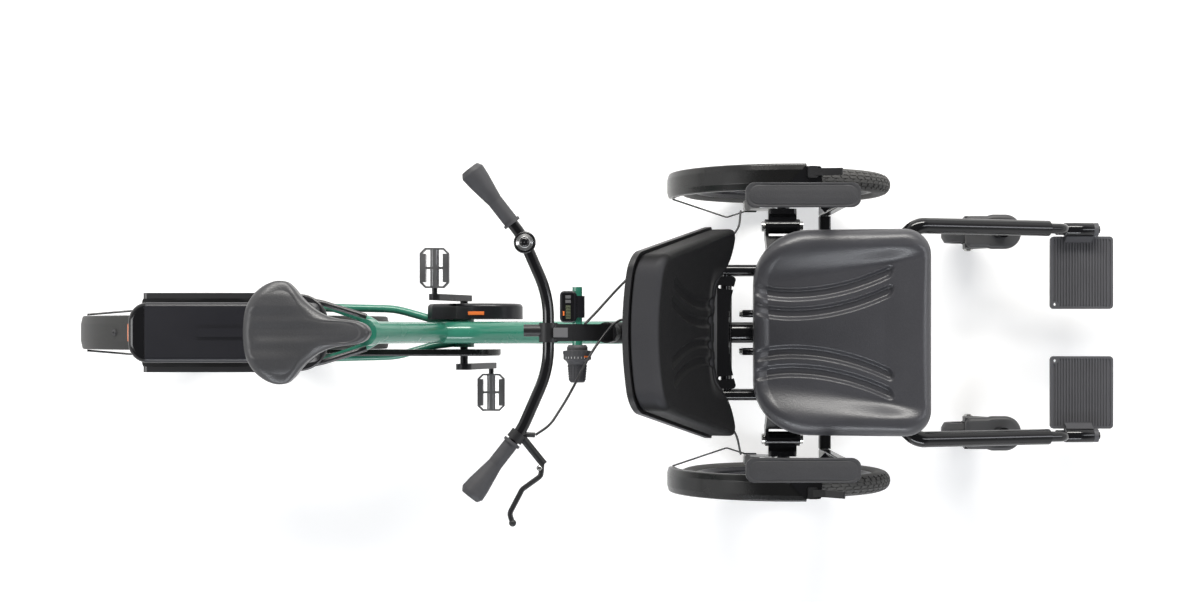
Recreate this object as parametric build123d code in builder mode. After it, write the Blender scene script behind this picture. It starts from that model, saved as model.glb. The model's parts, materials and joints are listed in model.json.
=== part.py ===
from build123d import *
import os
from math import cos, pi, radians, sin, sqrt, tan

os.makedirs("parts", exist_ok=True)

# Wheelchair bicycle: +X forward, +Y to the rider's left, +Z up, origin on the floor under the middle.

# Stance and wheels
front_axle_x = 411.0
rear_axle_x = -865.0
toe_x = 1215.0
front_radius = 250.0
front_track = 692.0
rear_radius = 326.0
tyre_width = 47.0
tyre_height = 43.0
rim_width = 30.0
rim_depth = 19.0
spokes_per_wheel = 36
spoke_radius = 1.1
spoke_lean = 58.0
front_bead_radius = front_radius - tyre_height
rear_bead_radius = rear_radius - tyre_height
half_track = front_track / 2

# Tyre section as (depth below the tread, half width), from the crown to the widest place
tyre_section = ((0, 6), (4, 14), (12, 21), (24, tyre_width / 2))

# Fits
running = 0.05
seat_gap = 0.3
slip = 0.1
weld = 3.0

# Steering head: the axis leans back at its top, behind and along the backrest
head_tilt = 15.0
head_x = 77.0
head_z = 600.0
head_radius = 25.0
head_bottom = -60.0
head_top = 100.0
steerer_radius = 15.0
steerer_top = 302.0
collar_height = 12.0
gaiter_radius = 21.5
gaiter_folds = 14
head_plane = Plane(
    origin=(head_x, 0, head_z),
    x_dir=(cos(radians(head_tilt)), 0, sin(radians(head_tilt))),
    z_dir=(-sin(radians(head_tilt)), 0, cos(radians(head_tilt))),
)

# Chair frame
rail_radius = 12.5
rail_y = 140.0
lower_rail_z = 420.0
rail_spacing = 43.0
rail_rear_x = 245.0
rail_front_x = 655.0
beam_radius = 24.0
beam_z = 400.0
arm_tube = 26.0
arm_tube_x = 487.0
arm_post_y = 276.0
upper_rail_z = lower_rail_z + rail_spacing

# Seat
pan_thickness = 3.0
seat_rear_x = 316.0
seat_front_x = 710.0
seat_half_width = 231.0
seat_rear_half_width = 226.0
seat_front_bend = 57.0
seat_rear_bend = 115.0
seat_thickness = 80.0
pan_inset = 18.0
pan_z = upper_rail_z + rail_radius + seat_gap
seat_z = pan_z + pan_thickness + seat_gap

# Backrest, built in a plane that leans back
recline = 21.0
back_foot_x = 196.0
back_foot_z = 600.0
back_height = 455.0
back_top_half = 147.0
back_low_half = 222.0
back_hollow_radius = 700.0
back_pad_thickness = 58.0
back_shell_thickness = 12.0
back_shell_margin = 5.0
back_post_y = 60.0
back_post_radius = 10.0
back_plane = Plane(
    origin=(back_foot_x, 0, back_foot_z),
    x_dir=(0, 1, 0),
    z_dir=(cos(radians(recline)), 0, sin(radians(recline))),
)

# Slotted back plate: a base on a bar across the rails, and a flange up behind the backrest
bracket_half_width = 126.0
bracket_wall = 4.0
bracket_z = upper_rail_z + 8.0
bracket_front_x = 284.0
bracket_bar_x = 258.0
bracket_bar_radius = 10.0

# Armrests
pad_length = 240.0
pad_width = 51.0
pad_thickness = 24.0
pad_rear_x = 282.0
pad_y = 288.0
pad_top_z = 750.0

# Wheel arms
pivot_y = 247.0
pivot_z = front_radius + 65.0
pivot_rear_x = 369.0
pivot_front_x = 434.0
pivot_radius = 17.0
ear_thickness = 8.0
knuckle_inner_y = 276.0
knuckle_thickness = 12.0
stub_radius = 6.0
disc_radius = 80.0
disc_thickness = 2.0
disc_y = 301.0
hub_outer = 26.0
hub_inner = -26.0

# Front fenders
fender_radius = front_radius + 25.0
fender_width = 58.0
fender_wall = 2.0
fender_start = 85.0
fender_sweep = 97.0
wire_radius = 2.0

# Leg hangers, castors and footplates
hanger_radius = 18.0
hanger_root_y = rail_y + 48.0
hanger_bend_x = rail_front_x + 36.0
hanger_y = 241.0
hanger_z = 456.0
hanger_end_z = 345.0
extension_radius = 12.0
hinge_y = 247.0
hinge_z = 190.0
hinge_x = toe_x - 131.0
hanger_end_x = hinge_x - 70.0
hinge_pin_radius = 6.0
hinge_tube_radius = 16.0
hinge_tube_length = 79.0
castor_x = hanger_end_x - 77.0
castor_y = 243.0
castor_radius = 65.0
castor_width = 44.0
castor_trail = 56.0
castor_lift = 25.0
castor_stem_radius = 8.0
castor_housing_radius = 17.0
fork_gap = 26.0
fork_leg = 12.0
crown_z = 166.0
crown_height = 20.0
crown_length = 104.0
crown_width = 83.0
plate_length = 151.0
plate_width = 175.0
plate_outer_y = 232.0
plate_top_z = 170.0
plate_thickness = 8.0
plate_rib = 3.0
plate_rib_pitch = 6.9
plate_hole_radius = 3.75

# Handlebar
bar_radius = 11.0
bar_x = -122.0
bar_z = 1050.0
bar_route = ((-268.0, 308.0, 1074.0), (-172.0, 185.0, 1064.0), (bar_x, 70.0, bar_z))
bar_bends = (140.0, 190.0, 190.0, 140.0)
grip_length = 133.0
grip_inner_radius = 14.5
grip_outer_radius = 24.0
stem_width = 33.0
clamp_radius = 18.0

# Brake cables, from the levers past the steering head and under the seat to the calipers
cable_radius = 2.5
lever_cable_route = ((-146.2, -195.5, 1055.6), (-119, -178, 1047), (-84, -124, 1020), (-38, -34, 988), (6, 22, 952),
                     (60, 34, 800), (112, 12, 670), (146, -64, 574), (240, -178, 532), (286, -226, 424),
                     (306, -284, 300))
stem_cable_route = ((-52, 17, 1000), (-30, 40, 978), (16, 92, 930), (66, 140, 820), (118, 168, 700),
                    (160, 176, 600), (240, 190, 532), (292, 232, 424), (306, 284, 300))

# Bicycle frame
crank_x = -341.0
crank_z = 300.0
tube_radius = 25.0
seat_angle = 66.0
seat_tube_length = 438.0
seat_post_radius = 15.0
seat_post_bore = 120.0
saddle_base_z = 893.0
shell_half_width = 34.0
shell_radius = 24.0
stay_radius = 9.0
dropout_y = 60.0
dropout_thickness = 6.0
axle_radius = 5.0
spacer_radius = 10.0
cross_x = -69.0
cross_z = 860.0
cross_radius = 10.0
seat_dir = Vector(-cos(radians(seat_angle)), 0, sin(radians(seat_angle)))
crank_centre = Vector(crank_x, 0, crank_z)
seat_tube_top = crank_centre + seat_dir * seat_tube_length

# Rear mudguard, carrier and battery
mudguard_radius = rear_radius + 24.0
mudguard_width = 75.0
mudguard_wall = 2.0
mudguard_start = -4.0
mudguard_sweep = 196.0
carrier_z = 700.0
carrier_width = 167.0
carrier_side = 12.0
carrier_side_height = 34.0
carrier_bend = 56.0
carrier_loop_radius = 5.0
battery_length = 385.0
battery_width = 125.0
battery_height = 92.0
battery_front_x = rear_axle_x + 252.0
battery_rear_x = battery_front_x - battery_length
carrier_rear_x = battery_rear_x + 5.0
carrier_front_x = battery_front_x + 10.0

# Drivetrain
case_inner_y = 39.0
case_thickness = 15.0
case_front_radius = 86.0
case_rear_radius = 44.0
motor_x = -289.0
motor_z = 316.0
motor_radius = 86.0
motor_inner_y = 31.0
motor_outer_y = 67.0
crank_length = 170.0
crank_angle = 18.4
crank_axle_radius = 9.0
crank_arm_y = 73.0
crank_arm_thickness = 14.0
pedal_y = 145.0
pedal_width = 90.0
pedal_length = 66.0
pedal_height = 26.0
pedal_spindle_radius = 6.0

finished = []


# Round bar from one point to another, with bends of the given radii between
def tube(route, radius, bends=None):
    with BuildLine() as path:
        if bends:
            FilletPolyline(*route, radius=bends)
        else:
            Line(*route)
    with BuildSketch(path.line ^ 0) as section:
        Circle(radius)
    sweep(sections=section.sketch, path=path.line)


# Bend radii of a cable, where each arc takes 0.45 of the shorter run at its corner, and the cable's length
def cable_bends(route):
    runs = [Vector(*end) - Vector(*start) for start, end in zip(route, route[1:])]
    length = sum(run.length for run in runs)
    bends = []
    for before, after in zip(runs, runs[1:]):
        half_turn = radians(before.get_angle(after)) / 2
        bend = 0.45 * min(before.length, after.length) / tan(half_turn)
        length -= 2 * bend * (tan(half_turn) - half_turn)
        bends.append(bend)
    return bends, length


# Round disc or rod along Y between two distances from the mid plane
def rod_y(x, z, y_from, y_to, radius, mode=Mode.ADD):
    with BuildSketch(Plane.XZ.offset(-y_from)) as section:
        with Locations((x, z)):
            Circle(radius)
    extrude(section.sketch, amount=y_from - y_to, mode=mode)


# Round rod along X
def rod_x(x_from, x_to, y, z, radius, mode=Mode.ADD):
    with BuildSketch(Plane.YZ.offset(x_from)) as section:
        with Locations((y, z)):
            Circle(radius)
    extrude(section.sketch, amount=x_to - x_from, mode=mode)


# Labels a finished sub-part and keeps it for writing
def keep(part, name):
    part.label = name
    finished.append(part)


# The same sub-part on the other side of the vehicle
def other_side(part):
    return mirror(part, about=Plane.XZ)


# Tyre section, seated flat on the rim and turned about Z
def make_tyre(radius, bead_radius):
    bead_half = rim_width / 2 - 2
    left = [(radius - depth, -half) for depth, half in tyre_section]
    right = [(radius - depth, half) for depth, half in reversed(tyre_section)]
    with BuildPart() as tyre:
        with BuildSketch(Plane.XZ):
            Polygon(*left, (bead_radius, -bead_half), (bead_radius, bead_half), *right, align=None)
        revolve(axis=Axis.Z)
    return tyre.part


# One spoke from a hub flange to the rim
def make_spoke(flange_radius, height, lean, rim_radius):
    start = Vector(flange_radius, 0, height).rotate(Axis.Z, lean)
    run = Vector(rim_radius, 0, 0) - start
    with BuildPart() as spoke:
        with BuildSketch(Plane(origin=start, z_dir=run)):
            RegularPolygon(radius=spoke_radius, side_count=6)
        extrude(amount=run.length)
    return spoke.part


# Rim, hub and laced spokes about Z; hub_profile is (radius, height) up the hub's outside
def make_wheel(bead_radius, hub_profile, bore_radius, flange_radius, flange_low, flange_high):
    lacing = ((flange_high, spoke_lean), (flange_low, spoke_lean),
              (flange_high, -spoke_lean), (flange_low, -spoke_lean))
    rim_inner = bead_radius - rim_depth
    spokes = [make_spoke(flange_radius, height, lean, rim_inner + weld) for height, lean in lacing]
    low = hub_profile[0][1]
    high = hub_profile[-1][1]
    with BuildPart() as wheel:
        with BuildSketch(Plane.XZ):
            with BuildLine():
                Polyline((bead_radius, -rim_width / 2), (bead_radius, rim_width / 2),
                         (bead_radius - 9, rim_width / 2), (rim_inner, rim_width / 4),
                         (rim_inner, -rim_width / 4), (bead_radius - 9, -rim_width / 2), close=True)
            make_face()
        revolve(axis=Axis.Z)
        with BuildSketch(Plane.XZ):
            with BuildLine():
                Polyline((bore_radius, low), *hub_profile, (bore_radius, high), close=True)
            make_face()
        revolve(axis=Axis.Z)
        for step, spoke in enumerate(spokes):
            with PolarLocations(0, spokes_per_wheel // 4, start_angle=step * 360 / spokes_per_wheel):
                add(spoke)
    return wheel.part


# Rounded channel section of a fender, from its lip height out to its top
def channel(lip, top, half_width, bend):
    with BuildSketch(Plane.XZ) as section:
        Polygon((lip, -half_width), (top - 4, -half_width), (top, -half_width / 2),
                (top, half_width / 2), (top - 4, half_width), (lip, half_width), align=None)
        fillet(section.vertices().filter_by(lambda corner: corner.X > lip + 1), bend)
    return section.sketch


# Curved channel about the wheel's axle, open to the tyre; drawn in the wheel's own plane
def make_fender(radius, width, wall, start, sweep_angle):
    lip = radius - 0.32 * width
    with BuildPart() as fender:
        revolve(channel(lip, radius, width / 2, 5), axis=Axis.Z, revolution_arc=sweep_angle)
        revolve(channel(lip - 1, radius - wall, width / 2 - wall, 4), axis=Axis.Z,
                revolution_arc=sweep_angle, mode=Mode.SUBTRACT)
    return fender.part.rotate(Axis.Z, start)


front_wheel_plane = Plane(origin=(front_axle_x, -half_track, front_radius), x_dir=(1, 0, 0), z_dir=(0, -1, 0))
rear_wheel_plane = Plane(origin=(rear_axle_x, 0, rear_radius), x_dir=(1, 0, 0), z_dir=(0, -1, 0))

# Front wheels, the right one first with its outer face along its plane
front_tyre_right = front_wheel_plane * make_tyre(front_radius, front_bead_radius + slip)
keep(front_tyre_right, "front_tyre_right")
keep(other_side(front_tyre_right), "front_tyre_left")

disc_inner = disc_y - half_track
hub_bore = stub_radius + running
front_hub = ((20, disc_inner + disc_thickness), (20, hub_inner - 2), (24, hub_inner), (33, hub_inner),
             (33, hub_inner + 4), (19, hub_inner + 10), (19, hub_outer - 10), (31, hub_outer - 5),
             (31, hub_outer - 1), (22, hub_outer))
front_wheel_part = make_wheel(front_bead_radius, front_hub, hub_bore, 29, hub_inner + 2, hub_outer - 3)
front_wheel_right = front_wheel_plane * front_wheel_part
keep(front_wheel_right, "front_wheel_right")
keep(other_side(front_wheel_right), "front_wheel_left")

# Brake discs, with six arms and two rings of holes
with BuildPart() as brake_disc:
    with BuildSketch(front_wheel_plane.offset(disc_inner)):
        Circle(disc_radius)
        with PolarLocations(46, 6):
            SlotOverall(30, 16, mode=Mode.SUBTRACT)
        with PolarLocations(disc_radius - 6, 30):
            Circle(2.4, mode=Mode.SUBTRACT)
        with PolarLocations(disc_radius - 12, 30, start_angle=6):
            Circle(2.4, mode=Mode.SUBTRACT)
        Circle(hub_bore, mode=Mode.SUBTRACT)
    extrude(amount=disc_thickness)
keep(brake_disc.part, "brake_disc_right")
keep(other_side(brake_disc.part), "brake_disc_left")

# Rear wheel
rear_tyre = rear_wheel_plane * make_tyre(rear_radius, rear_bead_radius + slip)
keep(rear_tyre, "rear_tyre")
rear_hub = ((22, -36), (30, -34), (45, -33), (45, -29), (30, -25), (30, 25), (45, 29), (45, 33), (30, 34),
            (22, 36))
rear_wheel = rear_wheel_plane * make_wheel(rear_bead_radius, rear_hub, axle_radius + running, 41, -31, 31)
keep(rear_wheel, "rear_wheel")

# Chair frame: beam to the steering lug, stacked rails, cross tubes, outriggers and pivot ears
lug_centre = head_plane.from_local_coords(Vector(0, 0, head_bottom - 20))
with BuildPart() as chair_frame:
    tube([(rail_front_x, 0, beam_z), (205, 0, beam_z), (lug_centre.X + 6, 0, lug_centre.Z)],
         beam_radius, (60,))
    with BuildSketch(head_plane.offset(head_bottom - seat_gap)):
        Circle(head_radius + 1)
    extrude(amount=-42)
    for side in (-1, 1):
        for level in (lower_rail_z, upper_rail_z):
            rod_x(rail_rear_x, rail_front_x, side * rail_y, level, rail_radius)
        for plate_x in (rail_rear_x + 12, rail_front_x - 12):
            with BuildSketch(Plane.YZ.offset(plate_x - 5)):
                with Locations((side * rail_y, (lower_rail_z + upper_rail_z) / 2)):
                    Rectangle(18, rail_spacing)
            extrude(amount=10)
        # Outrigger: a tapered box from the lower rail down to the pivot
        with BuildSketch(Plane.YZ.offset(pivot_rear_x - ear_thickness)):
            with BuildLine():
                Polyline((side * (rail_y - 8), lower_rail_z + 4), (side * (rail_y + 8), lower_rail_z + 4),
                         (side * (pivot_y - pivot_radius - 6), pivot_z + 22),
                         (side * (pivot_y - pivot_radius - 6), pivot_z - 16),
                         (side * (rail_y - 8), lower_rail_z - 42), close=True)
            make_face()
        extrude(amount=pivot_front_x - pivot_rear_x + 2 * ear_thickness)
        for ear_x in (pivot_rear_x - ear_thickness, pivot_front_x + seat_gap):
            with BuildSketch(Plane.YZ.offset(ear_x)):
                with Locations((side * pivot_y, pivot_z)):
                    Circle(pivot_radius)
                with Locations((side * (pivot_y - 16), pivot_z)):
                    Rectangle(32, 2 * pivot_radius)
            extrude(amount=ear_thickness - seat_gap)
            rod_x(ear_x - 1, ear_x + ear_thickness + 1, side * pivot_y, pivot_z, 8 + slip, Mode.SUBTRACT)
    for cross, half_span in ((rail_rear_x + 20, rail_y), (rail_front_x - 22, hanger_root_y)):
        rod_y(cross, lower_rail_z, -half_span, half_span, rail_radius - 1)
    rod_y(bracket_bar_x, bracket_z - bracket_bar_radius - seat_gap, -rail_y, rail_y, bracket_bar_radius)
    # Square cross tube that carries the armrest posts
    with BuildSketch(Plane.XZ.offset(-(arm_post_y - 12.5))):
        with Locations((arm_tube_x, lower_rail_z)):
            RectangleRounded(arm_tube, arm_tube, 4)
    extrude(amount=2 * (arm_post_y - 12.5))
keep(chair_frame.part, "chair_frame")

# Wheel arms: pivot sleeve, knuckle plate and stub axle
with BuildPart() as wheel_arms:
    rod_x(pivot_rear_x, pivot_front_x, pivot_y, pivot_z, pivot_radius)
    with BuildSketch(Plane.XZ.offset(-(knuckle_inner_y + knuckle_thickness))):
        with Locations((front_axle_x, front_radius)):
            Circle(24)
        with Locations(((pivot_rear_x + pivot_front_x) / 2, pivot_z)):
            RectangleRounded(pivot_front_x - pivot_rear_x, 34, 8)
        with BuildLine():
            Polyline((pivot_rear_x + 4, pivot_z - 10), (front_axle_x - 22, front_radius - 8),
                     (front_axle_x + 22, front_radius - 8), (pivot_front_x - 2, pivot_z - 10), close=True)
        make_face()
    extrude(amount=knuckle_thickness)
    with BuildSketch(Plane.YZ.offset(pivot_rear_x)):
        with Locations(((pivot_y + knuckle_inner_y) / 2 + 4, pivot_z)):
            Rectangle(knuckle_inner_y - pivot_y + 4, 22)
    extrude(amount=pivot_front_x - pivot_rear_x)
    rod_x(pivot_rear_x - 1, pivot_front_x + 1, pivot_y, pivot_z, 8 + slip, Mode.SUBTRACT)
    rod_y(front_axle_x, front_radius, knuckle_inner_y, disc_y - 1, 15)
    rod_y(front_axle_x, front_radius, disc_y - 1, half_track + hub_outer + seat_gap, stub_radius)
    rod_y(front_axle_x, front_radius, half_track + hub_outer + seat_gap, 374, 9)
    mirror(about=Plane.XZ)
keep(wheel_arms.part, "wheel_arms")

# Pivot bolts with round heads at both ends
with BuildPart() as pivot_bolts:
    bolt_rear = pivot_rear_x - ear_thickness - seat_gap
    bolt_front = pivot_front_x + ear_thickness + seat_gap
    rod_x(bolt_rear, bolt_front, pivot_y, pivot_z, 8)
    rod_x(bolt_rear - 7, bolt_rear, pivot_y, pivot_z, 12)
    rod_x(bolt_front, bolt_front + 7, pivot_y, pivot_z, 12)
    mirror(about=Plane.XZ)
keep(pivot_bolts.part, "pivot_bolts")

# Brake calipers straddle the discs behind the axle
caliper_x = front_axle_x - disc_radius + 4
with BuildPart() as brake_calipers:
    with BuildSketch(Plane.XY.offset(front_radius - 22)):
        with Locations((caliper_x, disc_y)):
            RectangleRounded(36, 26, 7)
    extrude(amount=44)
    with BuildSketch(Plane.XZ.offset(-(disc_y - 4))):
        with Locations((front_axle_x, front_radius)):
            Circle(disc_radius + 3)
    extrude(amount=-(disc_thickness + 6), mode=Mode.SUBTRACT)
    with BuildSketch(Plane.XZ.offset(-(knuckle_inner_y + knuckle_thickness))):
        with BuildLine():
            Polyline((caliper_x - 16, front_radius + 10), (caliper_x + 16, front_radius - 14),
                     (front_axle_x - 14, front_radius + 12), (pivot_rear_x + 8, pivot_z + 4), close=True)
        make_face()
    extrude(amount=-4)
    add(wheel_arms.part, mode=Mode.SUBTRACT)
    mirror(about=Plane.XZ)
keep(brake_calipers.part, "brake_calipers")

# Front fenders from the tyre's rear over its top
fender_part = make_fender(fender_radius, fender_width, fender_wall, fender_start, fender_sweep)
with BuildPart() as front_fenders:
    add(front_wheel_plane * fender_part)
    mirror(about=Plane.XZ)
keep(front_fenders.part, "front_fenders")

# Wire stays from the fender's rear end, bent in to the caliper's bracket
fender_tip = radians(fender_start + fender_sweep - 4)
stay_y = half_track - fender_width / 2 - 2 - slip
stay_start = (front_axle_x + (fender_radius - 12) * cos(fender_tip), stay_y,
              front_radius + (fender_radius - 12) * sin(fender_tip))
wire_end_y = knuckle_inner_y + knuckle_thickness - wire_radius - seat_gap
wire_end_z = front_radius + 12
with BuildPart() as fender_stays:
    tube([stay_start, (276, 272, wire_end_z), (318, wire_end_y, wire_end_z), (346, wire_end_y, wire_end_z)],
         wire_radius, (14, 14))
    mirror(about=Plane.XZ)
keep(fender_stays.part, "fender_stays")


# Seat outline, narrower and rounder at the back, drawn inset at a height
def seat_shape(height, inset):
    rear_x = seat_rear_x + inset
    front_x = seat_front_x - inset
    rear_half = seat_rear_half_width - inset
    front_half = seat_half_width - inset
    with BuildSketch(Plane.XY.offset(height)) as outline:
        Polygon((rear_x, -rear_half), (front_x, -front_half), (front_x, front_half), (rear_x, rear_half),
                align=None)
        fillet(outline.vertices().group_by(Axis.X)[0], seat_rear_bend - inset)
        fillet(outline.vertices().group_by(Axis.X)[-1], seat_front_bend - inset)
    return outline.sketch


# Seat pan on the upper rails
with BuildPart() as seat_pan:
    extrude(seat_shape(pan_z, pan_inset), amount=pan_thickness)
keep(seat_pan.part, "seat_pan")

# Seat cushion
with BuildPart() as seat_cushion:
    extrude(seat_shape(seat_z, 0), amount=seat_thickness)
    fillet(seat_cushion.faces().sort_by(Axis.Z)[-1].edges(), 24)
    fillet(seat_cushion.faces().sort_by(Axis.Z)[0].edges(), 10)
keep(seat_cushion.part, "seat_cushion")


# Outline of the back in its own plane, and a curved band that it is cut from
across_plane = Plane(origin=back_plane.origin, x_dir=(0, 1, 0), z_dir=back_plane.y_dir)


def back_slab(front, rear, margin):
    half_top = back_top_half + margin
    half_low = back_low_half + margin
    with BuildPart() as slab:
        with BuildSketch(back_plane.offset(-120)) as outline:
            Polygon((-half_low + 24, -margin), (-134, -margin), (-100, 34), (100, 34), (134, -margin),
                    (half_low - 24, -margin), (half_low, 34), (half_top, back_height + margin),
                    (-half_top, back_height + margin), (-half_low, 34), align=None)
            fillet(outline.vertices().filter_by(lambda corner: 90 < abs(corner.X) < 140), 14)
            fillet(outline.vertices().filter_by(lambda corner: abs(corner.X) > half_low - 30), 12)
            fillet(outline.vertices().group_by(Axis.Y)[-1], 46)
        extrude(amount=280)
        with BuildSketch(across_plane.offset(-40)):
            with Locations((0, -(back_hollow_radius + back_pad_thickness))):
                Circle(back_hollow_radius + back_pad_thickness - rear)
                Circle(back_hollow_radius + back_pad_thickness - front, mode=Mode.SUBTRACT)
        extrude(amount=back_height + 80, mode=Mode.INTERSECT)
    return slab


backrest_cushion = back_slab(back_pad_thickness, 0, 0)
keep(backrest_cushion.part, "backrest_cushion")
backrest_shell = back_slab(-seat_gap, -seat_gap - back_shell_thickness, back_shell_margin)
keep(backrest_shell.part, "backrest_shell")

# Back posts run straight up behind the backrest
shell_rear = -seat_gap - back_shell_thickness
hollow_depth = back_hollow_radius + back_pad_thickness
post_reach = hollow_depth - shell_rear + back_post_radius + seat_gap
post_depth = hollow_depth - sqrt(post_reach ** 2 - back_post_y ** 2)
post_plane = back_plane.offset(post_depth)
bracket_foot = (bracket_z - back_foot_z) / cos(radians(recline))
with BuildPart() as back_posts:
    for side in (-1, 1):
        foot = post_plane.from_local_coords(Vector(side * back_post_y, bracket_foot + 14, 0))
        head = post_plane.from_local_coords(Vector(side * back_post_y, 350, 0))
        tube([foot, head], back_post_radius)
keep(back_posts.part, "back_posts")

# Slotted back plate: waisted base with slots to set the seat's depth, and a flange in front of the posts
flange_plane = post_plane.offset(back_post_radius + seat_gap)
flange_foot = flange_plane.from_local_coords(Vector(0, bracket_foot, 0))
base_rear_x = flange_foot.X
with BuildPart() as back_plate:
    with BuildSketch(Plane.XY.offset(bracket_z)) as plate_base:
        with BuildLine():
            Line((base_rear_x, -bracket_half_width), (bracket_front_x, -bracket_half_width))
            ThreePointArc((bracket_front_x, -bracket_half_width), (bracket_front_x - 20, 0),
                          (bracket_front_x, bracket_half_width))
            Line((bracket_front_x, bracket_half_width), (base_rear_x, bracket_half_width))
            Line((base_rear_x, bracket_half_width), (base_rear_x, -bracket_half_width))
        make_face()
        fillet(plate_base.vertices().group_by(Axis.X)[-1], 8)
        for side in (-1, 1):
            with Locations((bracket_front_x - 24, side * (bracket_half_width - 25))):
                SlotOverall(36, 7.5, rotation=side * -6, mode=Mode.SUBTRACT)
    extrude(amount=bracket_wall)
    with BuildSketch(flange_plane) as plate_flange:
        flange_top = -back_shell_margin - 8
        Polygon((-bracket_half_width, bracket_foot), (bracket_half_width, bracket_foot),
                (bracket_half_width, bracket_foot + 44), (92, bracket_foot + 66), (92, flange_top),
                (-92, flange_top), (-92, bracket_foot + 66), (-bracket_half_width, bracket_foot + 44), align=None)
        fillet(plate_flange.vertices().filter_by(lambda corner: corner.Y > bracket_foot + 1), 8)
        with Locations((0, bracket_foot + 60)):
            RectangleRounded(70, 44, 12, mode=Mode.SUBTRACT)
    extrude(amount=bracket_wall)
keep(back_plate.part, "back_plate")

# Star knobs clamp the backrest to its posts
with BuildPart() as back_knobs:
    with BuildSketch(post_plane.offset(-back_post_radius - seat_gap)):
        with Locations((-back_post_y, 318), (back_post_y, 318)):
            Circle(9)
            with PolarLocations(7.5, 3, start_angle=90):
                Circle(5.5)
    extrude(amount=-14)
keep(back_knobs.part, "back_knobs")

# Armrest posts with a pad rail, and an arm over the wheel that holds the fender and the parking brake
arm_z = front_radius + fender_radius + seat_gap
with BuildPart() as armrest_posts:
    with BuildSketch(Plane.XY.offset(lower_rail_z - arm_tube / 2)):
        with Locations((arm_tube_x, arm_post_y)):
            RectangleRounded(24, 24, 5)
    extrude(amount=pad_top_z - pad_thickness - seat_gap - lower_rail_z + arm_tube / 2)
    with BuildSketch(Plane.XY.offset(pad_top_z - pad_thickness - seat_gap - 12)):
        with Locations((pad_rear_x + pad_length / 2, arm_post_y + 4)):
            RectangleRounded(pad_length - 50, 26, 6)
    extrude(amount=12)
    with BuildSketch(Plane.XY.offset(arm_z)) as arm_outline:
        Polygon((arm_tube_x - 91, half_track - 16), (arm_tube_x - 57, half_track + 22),
                (arm_tube_x - 21, half_track + 22), (arm_tube_x - 17, 300), (arm_tube_x + 10, 284),
                (arm_tube_x + 10, 266), (arm_tube_x - 14, 266), (arm_tube_x - 35, 290),
                (arm_tube_x - 91, 306), align=None)
        fillet(arm_outline.vertices(), 5)
    extrude(amount=4)
    mirror(about=Plane.XZ)
keep(armrest_posts.part, "armrest_posts")

# Armrest pads, soft with round ends
with BuildPart() as armrest_pads:
    with BuildSketch(Plane.XY.offset(pad_top_z - pad_thickness)):
        with Locations((pad_rear_x + pad_length / 2, -pad_y), (pad_rear_x + pad_length / 2, pad_y)):
            RectangleRounded(pad_length, pad_width, pad_width / 2 - 4)
    extrude(amount=pad_thickness)
    fillet(armrest_pads.faces().group_by(Axis.Z)[-1].edges(), 7)
keep(armrest_pads.part, "armrest_pads")

# Parking brakes: a hinge block on the arm, a lever with a thumb end and a shoe over the tyre
with BuildPart() as parking_brakes:
    for side, lift in ((1, 8), (-1, 42)):
        hinge = Vector(arm_tube_x - 41, side * (half_track + 8), arm_z + 4 + seat_gap)
        with BuildSketch(Plane.XY.offset(hinge.Z)):
            with Locations((hinge.X, hinge.Y)):
                RectangleRounded(22, 26, 4)
        extrude(amount=16)
        lever_plane = Plane(origin=(hinge.X, hinge.Y, hinge.Z + 10), x_dir=(1, 0, 0), z_dir=(0, -1, 0))
        with BuildSketch(lever_plane.offset(-8)) as lever_profile:
            with BuildLine():
                FilletPolyline((0, -4), (30, -2 + lift * 0.2), (66, lift), (64, lift + 7),
                               (26, 7 + lift * 0.2), (0, 6), radius=3, close=True)
            make_face()
        extrude(amount=16)
keep(parking_brakes.part, "parking_brakes")


# Leg hanger with its extension, footplate hinge pin and castor post, for the left side
def make_hanger():
    with BuildPart() as hanger:
        tube([(rail_front_x - 20, hanger_root_y, lower_rail_z + 10), (hanger_bend_x, hanger_y, hanger_z),
              (hanger_end_x, hanger_y, hanger_end_z)], hanger_radius, (34,))
        tube([(hanger_end_x - 24, hanger_y, hanger_end_z + 9), (hinge_x - 30, hanger_y, hanger_end_z - 14),
              (hinge_x - 6, hinge_y, hinge_z)], extension_radius, (22,))
        rod_x(hinge_x - 12, hinge_x + 8, hinge_y, hinge_z, extension_radius + 1)
        rod_x(hinge_x + 8, hinge_x + 9 + hinge_tube_length, hinge_y, hinge_z, hinge_pin_radius)
        rod_x(hinge_x + 9 + hinge_tube_length, hinge_x + 13 + hinge_tube_length, hinge_y, hinge_z, 9)
        fall = (hanger_z - hanger_end_z) / (hanger_end_x - hanger_bend_x)
        post_top = hanger_z - (castor_x - hanger_bend_x) * fall
        with BuildSketch(Plane.XY.offset(crown_z + crown_height + seat_gap)):
            with Locations((castor_x, castor_y)):
                Circle(castor_housing_radius)
        extrude(amount=48)
        with BuildSketch(Plane.XY.offset(crown_z + crown_height + 44)):
            with Locations((castor_x, castor_y)):
                Circle(castor_housing_radius - 5)
        extrude(amount=post_top - crown_z - crown_height - 44)
        with BuildSketch(Plane.XY.offset(crown_z + crown_height)):
            with Locations((castor_x, castor_y)):
                Circle(castor_stem_radius + running)
        extrude(amount=38, mode=Mode.SUBTRACT)
        add(chair_frame.part, mode=Mode.SUBTRACT)
    return hanger.part


hanger_left = make_hanger()
keep(hanger_left, "leg_hanger_left")
keep(other_side(hanger_left), "leg_hanger_right")

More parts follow.
